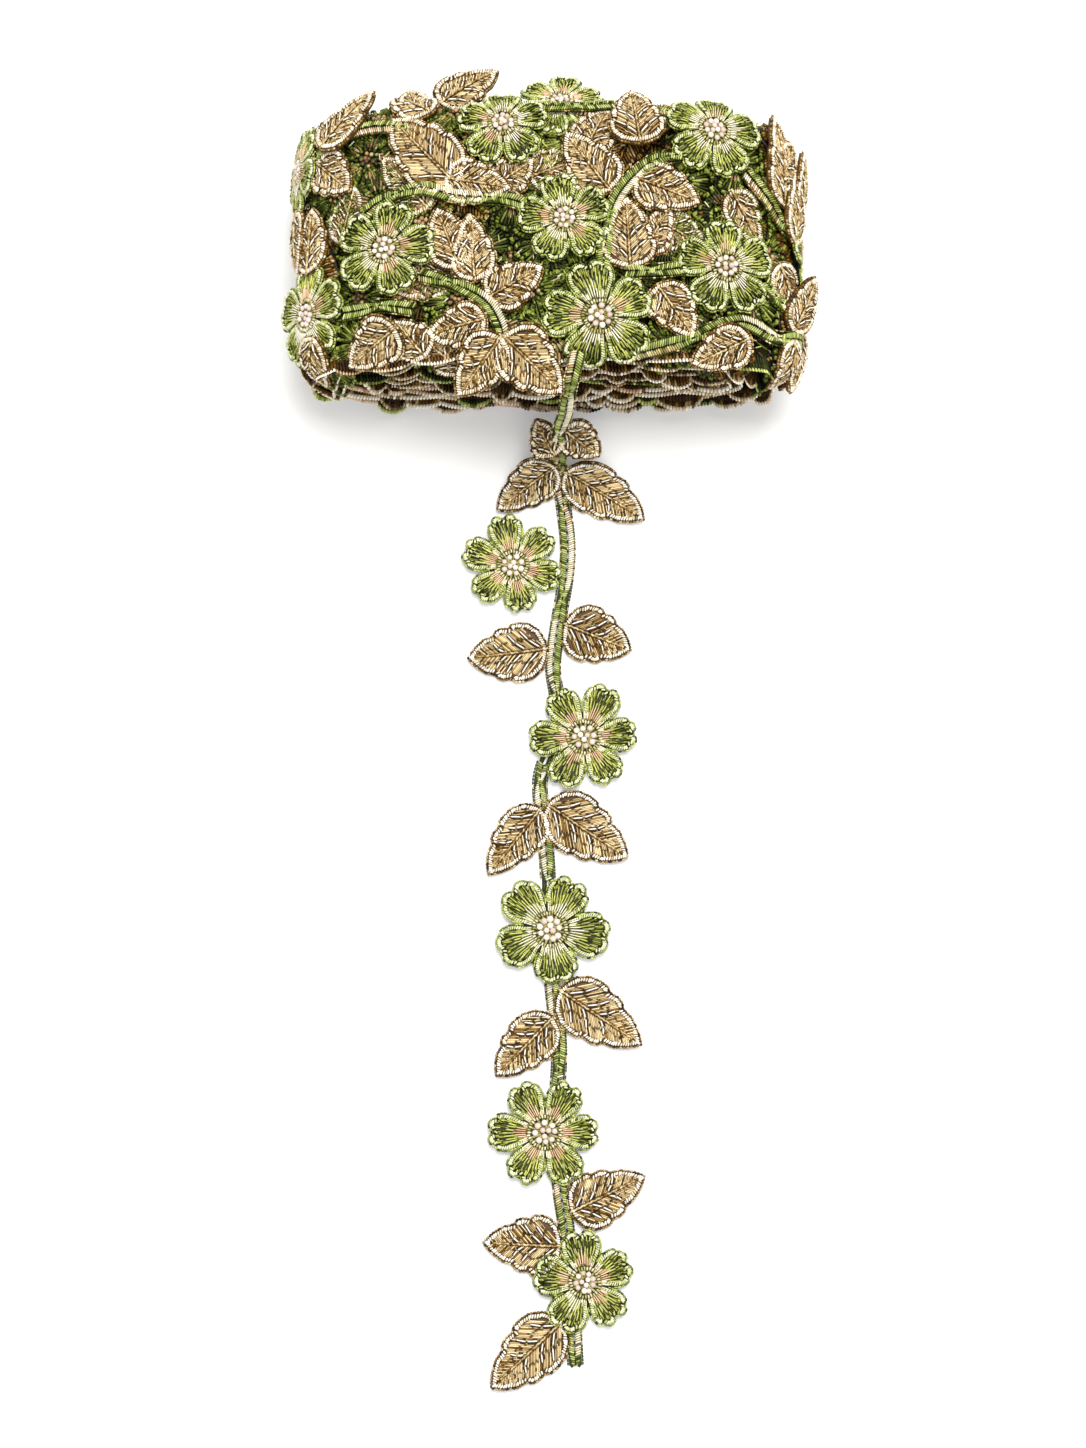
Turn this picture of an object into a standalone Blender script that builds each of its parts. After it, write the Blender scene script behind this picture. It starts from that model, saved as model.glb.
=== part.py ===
"""Embroidered flower-and-leaf lace trim, wound into a flat oval roll that lies on a table, with a loose end.

Frame: metres, +Z up, the table is z = 0, the roll is wound round an axis along Y, and the loose end runs to -Y.
The origin is the middle of the footprint. One solid is the wound roll, with the spiral edges of its turns at both
ends and the flowers and leaves of its outer turn. The other is the loose end, an open strip of the same trim.
"""

import math

import bmesh
import bpy
from mathutils import Vector

MM = 0.001

# Driving sizes of the wound roll
ROLL_WIDTH = 121 * MM
ROLL_HEIGHT = 47 * MM
ROLL_LENGTH = 66 * MM
ROLL_MIDDLE_Y = 118.5 * MM
OVAL_POWER = 2.5
FLAT_SPOT_DEPTH = 0.5 * MM
SHOULDER_RADIUS = {"front": 7 * MM, "far": 15 * MM}
SHOULDER_TURN = {"front": math.radians(60), "far": math.radians(58)}
CORE_STEPS = 48

# Driving sizes of the wound turns, as they show at both ends of the roll
TURN_PITCH = 4.4 * MM
TURN_THICKNESS = 2.1 * MM
TURN_START = 0.9 * MM
TURN_COUNT = 4.25
STEPS_A_TURN = 36
EDGE_STANDS_OUT = 2.0 * MM
EDGE_WAVE = 0.8 * MM
WAVES_A_TURN = 9.3

# Driving sizes of the embroidered motifs
MOTIF_HEIGHT = 1.5 * MM
MOTIF_SINK = 1.3 * MM
PETAL_EDGE_DROP = 0.45 * MM
BOSS_RISE = 0.8 * MM
BOSS_SHARE = 0.19
LEAF_RIB_RISE = 0.35 * MM
STEM_WIDTH = 3.0 * MM
STEM_HEIGHT = 1.8 * MM
STALK_WIDTH = 1.8 * MM

# Driving sizes of the loose end
STRIP_THICKNESS = 1.5 * MM
FLAT_FROM_Y = 60 * MM

# Faces that meet flatter than this are made one before the solid is cut into triangles.
FLAT_ENOUGH = math.radians(2.0)

# One petal, from valley to valley: the place across the petal and the reach from the flower's middle.
PETAL_SHAPE = (
    {"across": 0.00, "reach": 0.56},
    {"across": 0.13, "reach": 0.86},
    {"across": 0.33, "reach": 1.00},
    {"across": 0.50, "reach": 0.94},
    {"across": 0.67, "reach": 1.00},
    {"across": 0.87, "reach": 0.86},
)

# One side of a leaf, from the stalk to the tip: the place along it and the half-width, as shares.
LEAF_SHAPE = (
    {"along": 0.07, "wide": 0.52},
    {"along": 0.28, "wide": 1.00},
    {"along": 0.44, "wide": 0.82},
    {"along": 0.55, "wide": 0.98},
    {"along": 0.80, "wide": 0.52},
)

# The loose end seen from the side, its underside: from the table up in front of the turns to the roll's top edge.
DROP_PROFILE = (
    {"y": 60.0 * MM, "z": 0.0 * MM},
    {"y": 66.5 * MM, "z": 0.8 * MM},
    {"y": 71.6 * MM, "z": 4.2 * MM},
    {"y": 75.0 * MM, "z": 11.0 * MM},
    {"y": 77.0 * MM, "z": 22.0 * MM},
    {"y": 78.2 * MM, "z": 33.0 * MM},
    {"y": 79.4 * MM, "z": 38.0 * MM},
    {"y": 80.4 * MM, "z": 41.4 * MM},
    {"y": 81.8 * MM, "z": 43.2 * MM},
    {"y": 83.6 * MM, "z": 44.0 * MM},
)

# The stem of the loose end, from the roll to its cut end. "down" is y on the table, and it runs on up the drop.
STRIP_STEM = (
    {"x": 5.8, "down": 115.4},
    {"x": 5.2, "down": 111.0},
    {"x": 4.4, "down": 103.0},
    {"x": 3.8, "down": 94.0},
    {"x": 2.4, "down": 84.0},
    {"x": 2.3, "down": 75.0},
    {"x": 3.4, "down": 62.0},
    {"x": 4.6, "down": 51.0},
    {"x": 4.2, "down": 42.0},
    {"x": 2.2, "down": 30.0},
    {"x": 1.0, "down": 19.0},
    {"x": 2.2, "down": 9.0},
    {"x": 0.6, "down": 0.0},
    {"x": -2.2, "down": -9.0},
    {"x": -1.2, "down": -21.0},
    {"x": -0.4, "down": -31.0},
    {"x": 0.0, "down": -46.0},
    {"x": 0.8, "down": -60.0},
    {"x": 2.4, "down": -75.0},
    {"x": 1.6, "down": -92.0},
    {"x": 2.6, "down": -108.0},
    {"x": 4.4, "down": -120.0},
    {"x": 5.4, "down": -134.0},
    {"x": 6.2, "down": -149.8},
)

# The flowers of the loose end, from the roll down, in millimetres and degrees.
STRIP_FLOWERS = (
    {"x": -8.9, "down": 44.8, "radius": 12.6, "petals": 6, "turn": 42},
    {"x": 8.5, "down": 1.6, "radius": 13.7, "petals": 6, "turn": 3},
    {"x": 0.2, "down": -45.9, "radius": 14.2, "petals": 5, "turn": 63},
    {"x": -1.0, "down": -95.0, "radius": 13.5, "petals": 6, "turn": 0},
    {"x": 8.5, "down": -130.5, "radius": 12.2, "petals": 5, "turn": 25},
)

# The leaves of the loose end: the middle, the way the tip points, the length and the width.
STRIP_LEAVES = (
    {"x": -2.6, "down": 84.0, "tip": 150, "length": 11.0, "width": 9.0},
    {"x": 8.0, "down": 80.5, "tip": 20, "length": 12.0, "width": 11.0},
    {"x": -5.5, "down": 65.1, "tip": 220, "length": 19.3, "width": 12.5},
    {"x": 13.6, "down": 63.1, "tip": 326, "length": 24.0, "width": 14.0},
    {"x": -10.1, "down": 22.5, "tip": 187, "length": 20.0, "width": 15.0},
    {"x": 11.8, "down": 26.7, "tip": 338, "length": 18.0, "width": 14.6},
    {"x": -8.3, "down": -24.3, "tip": 232, "length": 21.0, "width": 12.6},
    {"x": 9.2, "down": -21.8, "tip": 326, "length": 24.0, "width": 15.4},
    {"x": 12.2, "down": -67.3, "tip": 326, "length": 24.0, "width": 15.0},
    {"x": -5.8, "down": -74.3, "tip": 226, "length": 20.0, "width": 12.8},
    {"x": 13.8, "down": -109.7, "tip": 26, "length": 20.0, "width": 13.8},
    {"x": -6.3, "down": -121.6, "tip": 177, "length": 19.0, "width": 14.6},
    {"x": -5.3, "down": -147.4, "tip": 223, "length": 23.0, "width": 14.6},
)

# The flowers of the roll's outer turn. "around" goes over the top towards +X from its middle line, and "along"
# goes towards +Y from the middle of the roll, both measured on the roll's own surface.
ROLL_FLOWERS = (
    {"around": -39.6, "along": -6.3, "radius": 14.0, "petals": 5, "turn": 75},
    {"around": 3.4, "along": 0.5, "radius": 12.4, "petals": 5, "turn": 100},
    {"around": 12.6, "along": -24.2, "radius": 13.6, "petals": 5, "turn": 31},
    {"around": 42.5, "along": -10.6, "radius": 13.2, "petals": 5, "turn": 95},
    {"around": 39.7, "along": 23.2, "radius": 12.8, "petals": 5, "turn": 80},
    {"around": -11.1, "along": 24.0, "radius": 12.0, "petals": 5, "turn": 92},
    {"around": 10.4, "along": 35.4, "radius": 10.6, "petals": 5, "turn": 20},
    {"around": -67.0, "along": -21.0, "radius": 13.0, "petals": 5, "turn": 10},
    {"around": -72.0, "along": 19.0, "radius": 12.6, "petals": 6, "turn": 30},
    {"around": 74.0, "along": 1.0, "radius": 12.6, "petals": 5, "turn": 40},
)

# The leaves of the roll's outer turn: the middle, the way the tip points, the length and the width.
ROLL_LEAVES = (
    {"around": -52.0, "along": 30.5, "tip": 40, "length": 19.0, "width": 13.0},
    {"around": -55.0, "along": 12.0, "tip": 195, "length": 19.0, "width": 13.0},
    {"around": -62.5, "along": 1.5, "tip": 230, "length": 20.0, "width": 13.0},
    {"around": -30.0, "along": 17.4, "tip": 112, "length": 19.0, "width": 15.0},
    {"around": -17.2, "along": 8.2, "tip": 5, "length": 17.0, "width": 11.0},
    {"around": -34.3, "along": 34.0, "tip": 120, "length": 17.0, "width": 12.0},
    {"around": -19.6, "along": -8.6, "tip": 250, "length": 18.0, "width": 13.0},
    {"around": -7.6, "along": -15.6, "tip": 320, "length": 15.0, "width": 11.0},
    {"around": -21.4, "along": -24.6, "tip": 235, "length": 14.0, "width": 10.5},
    {"around": -17.6, "along": -34.0, "tip": 232, "length": 15.0, "width": 11.0},
    {"around": -5.0, "along": -32.0, "tip": 285, "length": 14.0, "width": 11.0},
    {"around": -46.6, "along": -28.2, "tip": 215, "length": 16.0, "width": 12.0},
    {"around": -32.6, "along": -29.6, "tip": 300, "length": 15.0, "width": 11.0},
    {"around": 9.3, "along": 15.6, "tip": 95, "length": 16.0, "width": 13.0},
    {"around": 21.6, "along": 26.4, "tip": 70, "length": 16.0, "width": 12.0},
    {"around": 28.8, "along": 9.4, "tip": 350, "length": 17.0, "width": 12.0},
    {"around": 21.2, "along": -4.2, "tip": 305, "length": 17.0, "width": 12.5},
    {"around": 28.4, "along": -20.4, "tip": 230, "length": 15.0, "width": 11.0},
    {"around": 30.6, "along": -33.0, "tip": 255, "length": 14.0, "width": 11.0},
    {"around": 45.0, "along": -31.2, "tip": 300, "length": 16.0, "width": 12.0},
    {"around": 61.0, "along": 20.4, "tip": 35, "length": 18.0, "width": 12.5},
    {"around": 56.0, "along": 8.6, "tip": 210, "length": 14.0, "width": 11.0},
    {"around": 62.4, "along": -16.0, "tip": 340, "length": 17.0, "width": 12.5},
    {"around": 66.0, "along": -31.0, "tip": 250, "length": 15.0, "width": 11.0},
    {"around": -82.0, "along": -31.0, "tip": 260, "length": 16.0, "width": 12.0},
    {"around": -83.0, "along": 5.0, "tip": 80, "length": 17.0, "width": 12.0},
    {"around": 78.0, "along": 31.0, "tip": 95, "length": 17.0, "width": 12.0},
    {"around": 82.0, "along": 17.0, "tip": 20, "length": 15.0, "width": 11.0},
    {"around": 77.0, "along": -19.0, "tip": 260, "length": 17.0, "width": 12.0},
    {"around": 80.0, "along": -34.0, "tip": 280, "length": 14.0, "width": 11.0},
)

# The stems of the roll's outer turn, each a run of places on its surface.
ROLL_STEMS = (
    ((40.0, 14.0), (34.0, 18.5), (22.0, 14.6), (15.0, 4.0), (9.6, -10.0), (10.0, -20.0)),
    ((42.0, 14.0), (48.4, 15.0), (55.0, 3.4), (66.0, 0.0)),
    ((-38.0, 2.0), (-32.3, 4.6), (-25.0, 8.6), (-12.0, 3.8), (-5.0, 2.6)),
    ((6.0, -4.0), (14.0, -9.5), (21.8, -12.2), (34.0, -9.8)),
    ((50.0, -12.0), (56.0, -16.6), (66.0, -15.0), (74.0, -8.0)),
    ((-34.0, -12.0), (-26.0, -15.0), (-18.0, -19.0), (-11.6, -27.6), (-6.0, -33.0)),
    ((-64.0, 12.0), (-52.0, 21.0), (-43.8, 22.4), (-36.0, 22.6), (-20.0, 27.0)),
    ((-60.0, -20.0), (-51.0, -22.0), (-40.0, -25.6), (-28.4, -26.0), (-20.0, -21.0)),
    ((20.0, -30.0), (33.6, -27.0), (46.0, -26.0), (56.0, -27.4), (68.0, -24.0), (84.0, -24.0)),
    ((-2.0, 27.0), (4.0, 24.0), (12.0, 25.0), (22.0, 21.4), (30.0, 24.0)),
    ((-72.0, -14.0), (-76.0, 4.0), (-74.0, 12.0)),
    ((76.0, 8.0), (73.0, 18.0), (78.0, 27.0)),
)


def clear_startup_objects():
    """Remove whatever the startup file holds."""
    for obj in list(bpy.data.objects):
        bpy.data.objects.remove(obj, do_unlink=True)


def material(name, red, green, blue):
    """A plain material for one colour of the embroidery."""
    made = bpy.data.materials.new(name)
    made.use_nodes = True
    shader = made.node_tree.nodes["Principled BSDF"]
    shader.inputs["Base Color"].default_value = (red, green, blue, 1.0)
    shader.inputs["Roughness"].default_value = 0.7
    return made


def oval_point(angle, half_width, half_height):
    """A point of the roll's oval section, from the top (angle 0) towards +X."""
    sine, cosine = math.sin(angle), math.cos(angle)
    x = half_width * math.copysign(abs(sine) ** (2 / OVAL_POWER), sine)
    z = half_height * math.copysign(abs(cosine) ** (2 / OVAL_POWER), cosine)
    return x, z


def measured_oval(steps=1440):
    """The outer oval as places with their distance round it and their outward direction."""
    points = [oval_point(2 * math.pi * i / steps, ROLL_WIDTH / 2, ROLL_HEIGHT / 2) for i in range(steps)]
    places, distance = [], 0.0
    for i, (x, z) in enumerate(points):
        before, after = points[i - 1], points[(i + 1) % steps]
        if i:
            distance += math.hypot(x - before[0], z - before[1])
        step_x, step_z = after[0] - before[0], after[1] - before[1]
        length = math.hypot(step_x, step_z)
        places.append((distance, x, z, -step_z / length, step_x / length))
    total = distance + math.hypot(points[0][0] - points[-1][0], points[0][1] - points[-1][1])
    return places, total


OVAL, OVAL_ROUND = measured_oval()
ROLL_MIDDLE_Z = ROLL_HEIGHT / 2 - FLAT_SPOT_DEPTH
FRONT_FACE_Y = ROLL_MIDDLE_Y - ROLL_LENGTH / 2
FAR_FACE_Y = ROLL_MIDDLE_Y + ROLL_LENGTH / 2
FRONT_BEND_Y = FRONT_FACE_Y + SHOULDER_RADIUS["front"] * math.sin(SHOULDER_TURN["front"])
FAR_BEND_Y = FAR_FACE_Y - SHOULDER_RADIUS["far"] * math.sin(SHOULDER_TURN["far"])


def oval_place(around):
    """The outer oval at a distance round it: the place and the outward direction, both in X and Z."""
    wanted = around % OVAL_ROUND
    low, high = 0, len(OVAL) - 1
    while high - low > 1:
        middle = (low + high) // 2
        if OVAL[middle][0] <= wanted:
            low = middle
        else:
            high = middle
    first, last = OVAL[low], OVAL[(low + 1) % len(OVAL)]
    span = (last[0] if last[0] > first[0] else OVAL_ROUND) - first[0]
    share = min(max((wanted - first[0]) / span, 0.0), 1.0) if span > 0 else 0.0
    x, z, out_x, out_z = (first[k] + (last[k] - first[k]) * share for k in (1, 2, 3, 4))
    length = math.hypot(out_x, out_z)
    return x, z, out_x / length, out_z / length


def roll_surface(around, along, height):
    """A point over the roll's surface: straight in the middle, bent down over a shoulder at each end."""
    x, z, out_x, out_z = oval_place(around)
    y = ROLL_MIDDLE_Y + along
    end, side, start = None, 0, 0.0
    if y > FAR_BEND_Y:
        end, side, start = "far", 1, FAR_BEND_Y
    elif y < FRONT_BEND_Y:
        end, side, start = "front", -1, FRONT_BEND_Y
    if end is None:
        return Vector((x + out_x * height, y, ROLL_MIDDLE_Z + z + out_z * height))
    radius, limit = SHOULDER_RADIUS[end], SHOULDER_TURN[end]
    travel = abs(y - start)
    turn = min(travel / radius, limit)
    beyond = max(travel - radius * limit, 0.0)
    inward = radius * (1 - math.cos(turn)) + beyond * math.sin(turn) - height * math.cos(turn)
    forward = radius * math.sin(turn) + beyond * math.cos(turn) + height * math.sin(turn)
    return Vector((x - out_x * inward, start + side * forward, ROLL_MIDDLE_Z + z - out_z * inward))


def measured_drop():
    """The side view of the loose end as places with the distance along it, from the flat part up."""
    distance, places = FLAT_FROM_Y, []
    for i, row in enumerate(DROP_PROFILE):
        if i:
            before = DROP_PROFILE[i - 1]
            distance += math.hypot(row["y"] - before["y"], row["z"] - before["z"])
        places.append((distance, row["y"], row["z"]))
    return places


DROP = measured_drop()


def strip_surface(x, down, height):
    """A point over the loose end: flat on the table, then up the drop in front of the roll."""
    if down <= FLAT_FROM_Y:
        return Vector((x, down, height))
    index = 0
    while index < len(DROP) - 2 and DROP[index + 1][0] < down:
        index += 1
    first, last = DROP[index], DROP[index + 1]
    share = (down - first[0]) / (last[0] - first[0])

    def lean(k):
        low, high = DROP[max(k - 1, 0)], DROP[min(k + 1, len(DROP) - 1)]
        return math.atan2(high[2] - low[2], high[1] - low[1])

    angle = lean(index) + (lean(index + 1) - lean(index)) * min(max(share, 0.0), 1.0) if index else (
        lean(1) * min(max(share, 0.0), 1.0))
    y = first[1] + (last[1] - first[1]) * share - math.sin(angle) * height
    z = first[2] + (last[2] - first[2]) * share + math.cos(angle) * height
    return Vector((x, y, z))


class Shell:
    """A closed surface gathered from rings of points, each ring laid on a surface by a function."""

    def __init__(self, surface):
        self.mesh = bmesh.new()
        self.surface = surface

    def point(self, place):
        return self.mesh.verts.new(self.surface(*place))

    def band(self, first, second):
        """Faces between two rings with the same number of points."""
        count = len(first)
        for i in range(count):
            j = (i + 1) % count
            self.mesh.faces.new((first[i], first[j], second[j], second[i]))

    def fan(self, ring, place):
        """Faces from a ring to one middle point."""
        middle = self.point(place)
        count = len(ring)
        for i in range(count):
            self.mesh.faces.new((ring[i], ring[(i + 1) % count], middle))

    def plate(self, rings, under, top_middle, under_middle):
        """A raised plate: rings from its lower edge over the top to the middle, and its hidden underside."""
        made = [[self.point(place) for place in ring] for ring in rings]
        for first, second in zip(made[:-1], made[1:]):
            self.band(first, second)
        self.fan(made[-1], top_middle)
        low = [self.point(place) for place in under]
        self.band(low, made[0])
        self.fan(list(reversed(low)), under_middle)

    def finish(self, name, collection, paint):
        """Make the object, with its faces turned outward."""
        bmesh.ops.recalc_face_normals(self.mesh, faces=self.mesh.faces)
        data = bpy.data.meshes.new(name)
        self.mesh.to_mesh(data)
        self.mesh.free()
        data.materials.append(paint)
        made = bpy.data.objects.new(name, data)
        collection.objects.link(made)
        return made


def flower_ring(flower, share, height, roundness=0.0):
    """The outline of a flower at a share of its size. A roundness of 1 makes it a circle."""
    points, count = [], flower["petals"]
    for petal in range(count):
        for row in PETAL_SHAPE:
            angle = math.radians(flower["turn"]) + 2 * math.pi * (petal + row["across"] - 0.5) / count
            reach = row["reach"] + (1 - row["reach"]) * roundness
            radius = flower["radius"] * MM * reach * share
            points.append((flower["x"] * MM + radius * math.cos(angle), flower["y"] * MM + radius * math.sin(angle),
                           height))
    return points


def add_flower(shell, flower, low, top):
    """A flower: lobed petals with a soft edge, a dip round the middle and a raised middle of knots."""
    middle = (flower["x"] * MM, flower["y"] * MM)
    rings = [
        flower_ring(flower, 1.0, top - PETAL_EDGE_DROP),
        flower_ring(flower, 0.72, top + 0.15 * MM, 0.2),
        flower_ring(flower, 0.30, top - 0.35 * MM, 0.9),
    ]
    shell.plate(rings, flower_ring(flower, 1.0, low), (*middle, top - 0.35 * MM), (*middle, low))


def add_boss(shell, flower, low, top):
    """The raised middle of a flower, a small dome of eight sides."""
    rings = []
    for share, height in ((1.0, top + 0.1 * MM), (0.62, top + BOSS_RISE)):
        ring = []
        for i in range(8):
            angle = 2 * math.pi * (i + 0.37) / 8
            radius = flower["radius"] * MM * BOSS_SHARE * share
            ring.append((flower["x"] * MM + radius * math.cos(angle), flower["y"] * MM + radius * math.sin(angle),
                         height))
        rings.append(ring)
    under = [(x, y, low) for x, y, _ in rings[0]]
    middle = (flower["x"] * MM, flower["y"] * MM)
    shell.plate(rings, under, (*middle, top + BOSS_RISE + 0.1 * MM), (*middle, low))


def leaf_place(leaf, along, across):
    """A place of a leaf, from its share of the length and its share of the half-width."""
    angle = math.radians(leaf["tip"])
    reach = (along - 0.5) * leaf["length"] * MM
    aside = across * leaf["width"] / 2 * MM
    return (leaf["x"] * MM + reach * math.cos(angle) - aside * math.sin(angle),
            leaf["y"] * MM + reach * math.sin(angle) + aside * math.cos(angle))


def add_leaf(shell, leaf, low, top):
    """A leaf: a pointed oval with a notch in each side, a little higher along its midrib."""
    def ring(share, height):
        places = [leaf_place(leaf, 0.5 - 0.5 * share, 0.0)]
        places += [leaf_place(leaf, 0.5 + (row["along"] - 0.5) * share, row["wide"] * share) for row in LEAF_SHAPE]
        places.append(leaf_place(leaf, 0.5 + 0.5 * share, 0.0))
        places += [leaf_place(leaf, 0.5 + (row["along"] - 0.5) * share, -row["wide"] * share)
                   for row in reversed(LEAF_SHAPE)]
        return [(x, y, height) for x, y in places]

    middle = leaf_place(leaf, 0.5, 0.0)
    shell.plate([ring(1.0, top - 0.3 * MM), ring(0.55, top)], ring(1.0, low), (*middle, top + LEAF_RIB_RISE),
                (*middle, low))


def smooth_route(points, step):
    """Even places along a soft curve through the points."""
    places = []
    for i in range(len(points) - 1):
        before = points[max(i - 1, 0)]
        start, end = points[i], points[i + 1]
        after = points[min(i + 2, len(points) - 1)]
        length = math.hypot(end[0] - start[0], end[1] - start[1])
        count = max(int(math.ceil(length / step)), 1)
        for k in range(count):
            t = k / count
            places.append(tuple(
                0.5 * (2 * start[a] + (end[a] - before[a]) * t + (2 * before[a] - 5 * start[a] + 4 * end[a] - after[a])
                       * t * t + (3 * start[a] - before[a] - 3 * end[a] + after[a]) * t ** 3) for a in (0, 1)))
    places.append(points[-1])
    return places


def add_cord(shell, route, width, low, top):
    """A raised cord along a route, narrower at its top than at its foot."""
    sections = []
    for i, (x, y) in enumerate(route):
        before, after = route[max(i - 1, 0)], route[min(i + 1, len(route) - 1)]
        length = math.hypot(after[0] - before[0], after[1] - before[1])
        side_x, side_y = -(after[1] - before[1]) / length, (after[0] - before[0]) / length
        section = []
        for aside, height in ((-0.5, low), (-0.5, low + (top - low) * 0.6), (-0.24, top), (0.24, top),
                              (0.5, low + (top - low) * 0.6), (0.5, low)):
            section.append(shell.point((x + side_x * aside * width, y + side_y * aside * width, height)))
        sections.append(section)
    for first, second in zip(sections[:-1], sections[1:]):
        shell.band(first, second)
    shell.mesh.faces.new(list(reversed(sections[0])))
    shell.mesh.faces.new(sections[-1])


def make_core(collection, paint):
    """The body of the roll: its oval section carried along Y, drawn in over a shoulder at both ends."""
    stations = []
    for k in (3, 2, 1):
        stations.append((FRONT_BEND_Y - ROLL_MIDDLE_Y) - SHOULDER_RADIUS["front"] * SHOULDER_TURN["front"] * k / 3)
    stations.append(FRONT_BEND_Y - ROLL_MIDDLE_Y)
    stations.append(FAR_BEND_Y - ROLL_MIDDLE_Y)
    for k in (1, 2, 3):
        stations.append((FAR_BEND_Y - ROLL_MIDDLE_Y) + SHOULDER_RADIUS["far"] * SHOULDER_TURN["far"] * k / 3)
    core = bmesh.new()
    rings = []
    for along in stations:
        ring = []
        for i in range(CORE_STEPS):
            point = roll_surface(OVAL_ROUND * (i + 0.5) / CORE_STEPS, along, 0.0)
            point.z = max(point.z, 0.0)
            ring.append(core.verts.new(point))
        rings.append(ring)
    for first, second in zip(rings[:-1], rings[1:]):
        for i in range(CORE_STEPS):
            j = (i + 1) % CORE_STEPS
            core.faces.new((first[i], first[j], second[j], second[i]))
    core.faces.new(list(reversed(rings[0])))
    core.faces.new(rings[-1])
    bmesh.ops.recalc_face_normals(core, faces=core.faces)
    data = bpy.data.meshes.new("wound_roll")
    core.to_mesh(data)
    core.free()
    data.materials.append(paint)
    made = bpy.data.objects.new("wound_roll", data)
    collection.objects.link(made)
    return made


def end_of_turn(inset, end):
    """How far along Y the roll's own shape reaches at a depth below its surface."""
    radius = SHOULDER_RADIUS[end]
    deepest = radius * (1 - math.cos(SHOULDER_TURN[end]))
    if inset < deepest:
        reach = math.sqrt(radius ** 2 - (radius - inset) ** 2)
    else:
        reach = radius * math.sin(SHOULDER_TURN[end])
    return FRONT_BEND_Y - reach if end == "front" else FAR_BEND_Y + reach


def make_turns(collection, paint):
    """The wound strip under the outer turn: one spiral band whose waving edges stand out at both ends."""
    turns = bmesh.new()
    sections = []
    steps = int(TURN_COUNT * STEPS_A_TURN)
    for i in range(steps + 1):
        share = i / STEPS_A_TURN
        angle = math.radians(200) + 2 * math.pi * share
        inset = TURN_START + TURN_PITCH * share
        wave = math.sin(2 * math.pi * WAVES_A_TURN * share) * EDGE_WAVE
        other_wave = math.sin(2 * math.pi * (WAVES_A_TURN + 0.8) * share + 1.3) * EDGE_WAVE
        front = end_of_turn(inset, "front") - EDGE_STANDS_OUT - wave
        far = end_of_turn(inset, "far") + EDGE_STANDS_OUT * 0.8 + other_wave
        section = []
        for depth, y in ((inset, front), (inset, far), (inset + TURN_THICKNESS, far), (inset + TURN_THICKNESS, front)):
            x, z = oval_point(angle, ROLL_WIDTH / 2 - depth, ROLL_HEIGHT / 2 - depth)
            section.append(turns.verts.new((x, y, ROLL_MIDDLE_Z + z)))
        sections.append(section)
    for first, second in zip(sections[:-1], sections[1:]):
        for k in range(4):
            m = (k + 1) % 4
            turns.faces.new((first[k], first[m], second[m], second[k]))
    turns.faces.new(list(reversed(sections[0])))
    turns.faces.new(sections[-1])
    bmesh.ops.recalc_face_normals(turns, faces=turns.faces)
    data = bpy.data.meshes.new("turns")
    turns.to_mesh(data)
    turns.free()
    data.materials.append(paint)
    made = bpy.data.objects.new("turns", data)
    collection.objects.link(made)
    return made


def place_rows(rows, across, down):
    """The rows of a table with their two places under the common names."""
    return [{**row, "x": row[across], "y": row[down]} for row in rows]


def nearest_on_route(route, x, y):
    """The place of a route nearest to a point."""
    return min(route, key=lambda place: math.hypot(place[0] - x, place[1] - y))


def join_into(target, tool, overlapping):
    """Fuse a tool object into the target, exactly."""
    step = target.modifiers.new("join " + tool.name, "BOOLEAN")
    step.operation = "UNION"
    step.solver = "EXACT"
    step.use_self = overlapping
    step.object = tool
    tool.hide_render = True
    tool.display_type = "WIRE"


def settle(target, tools):
    """Carry out the joins, fill any pocket sealed inside the solid, and leave one plain mesh."""
    depsgraph = bpy.context.evaluated_depsgraph_get()
    solid = bmesh.new()
    solid.from_mesh(target.evaluated_get(depsgraph).to_mesh())
    bmesh.ops.dissolve_limit(solid, angle_limit=FLAT_ENOUGH, verts=solid.verts, edges=solid.edges)
    bmesh.ops.triangulate(solid, faces=solid.faces)
    shells, seen = [], set()
    for start in solid.faces:
        if start in seen:
            continue
        shell, front = [], [start]
        seen.add(start)
        while front:
            face = front.pop()
            shell.append(face)
            for edge in face.edges:
                for other in edge.link_faces if len(edge.link_faces) == 2 else ():
                    if other not in seen:
                        seen.add(other)
                        front.append(other)
        shells.append(shell)
    pockets, extra = [], 0
    for shell in shells:
        inside = set(shell)
        closed = all(sum(other in inside for other in edge.link_faces) == 2 for face in shell for edge in face.edges)
        volume = sum(face.verts[0].co.dot(face.verts[1].co.cross(face.verts[2].co)) for face in shell)
        if closed and (volume < 0 or len(shell) < len(solid.faces) / 20):
            pockets += shell
            extra += 1
    bmesh.ops.delete(solid, geom=pockets, context="FACES")
    print(target.name, "shells:", len(shells), "pockets filled:", extra, "faces:", len(solid.faces))
    target.modifiers.clear()
    solid.to_mesh(target.data)
    solid.free()
    for tool in list(tools.objects):
        bpy.data.objects.remove(tool, do_unlink=True)


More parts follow.
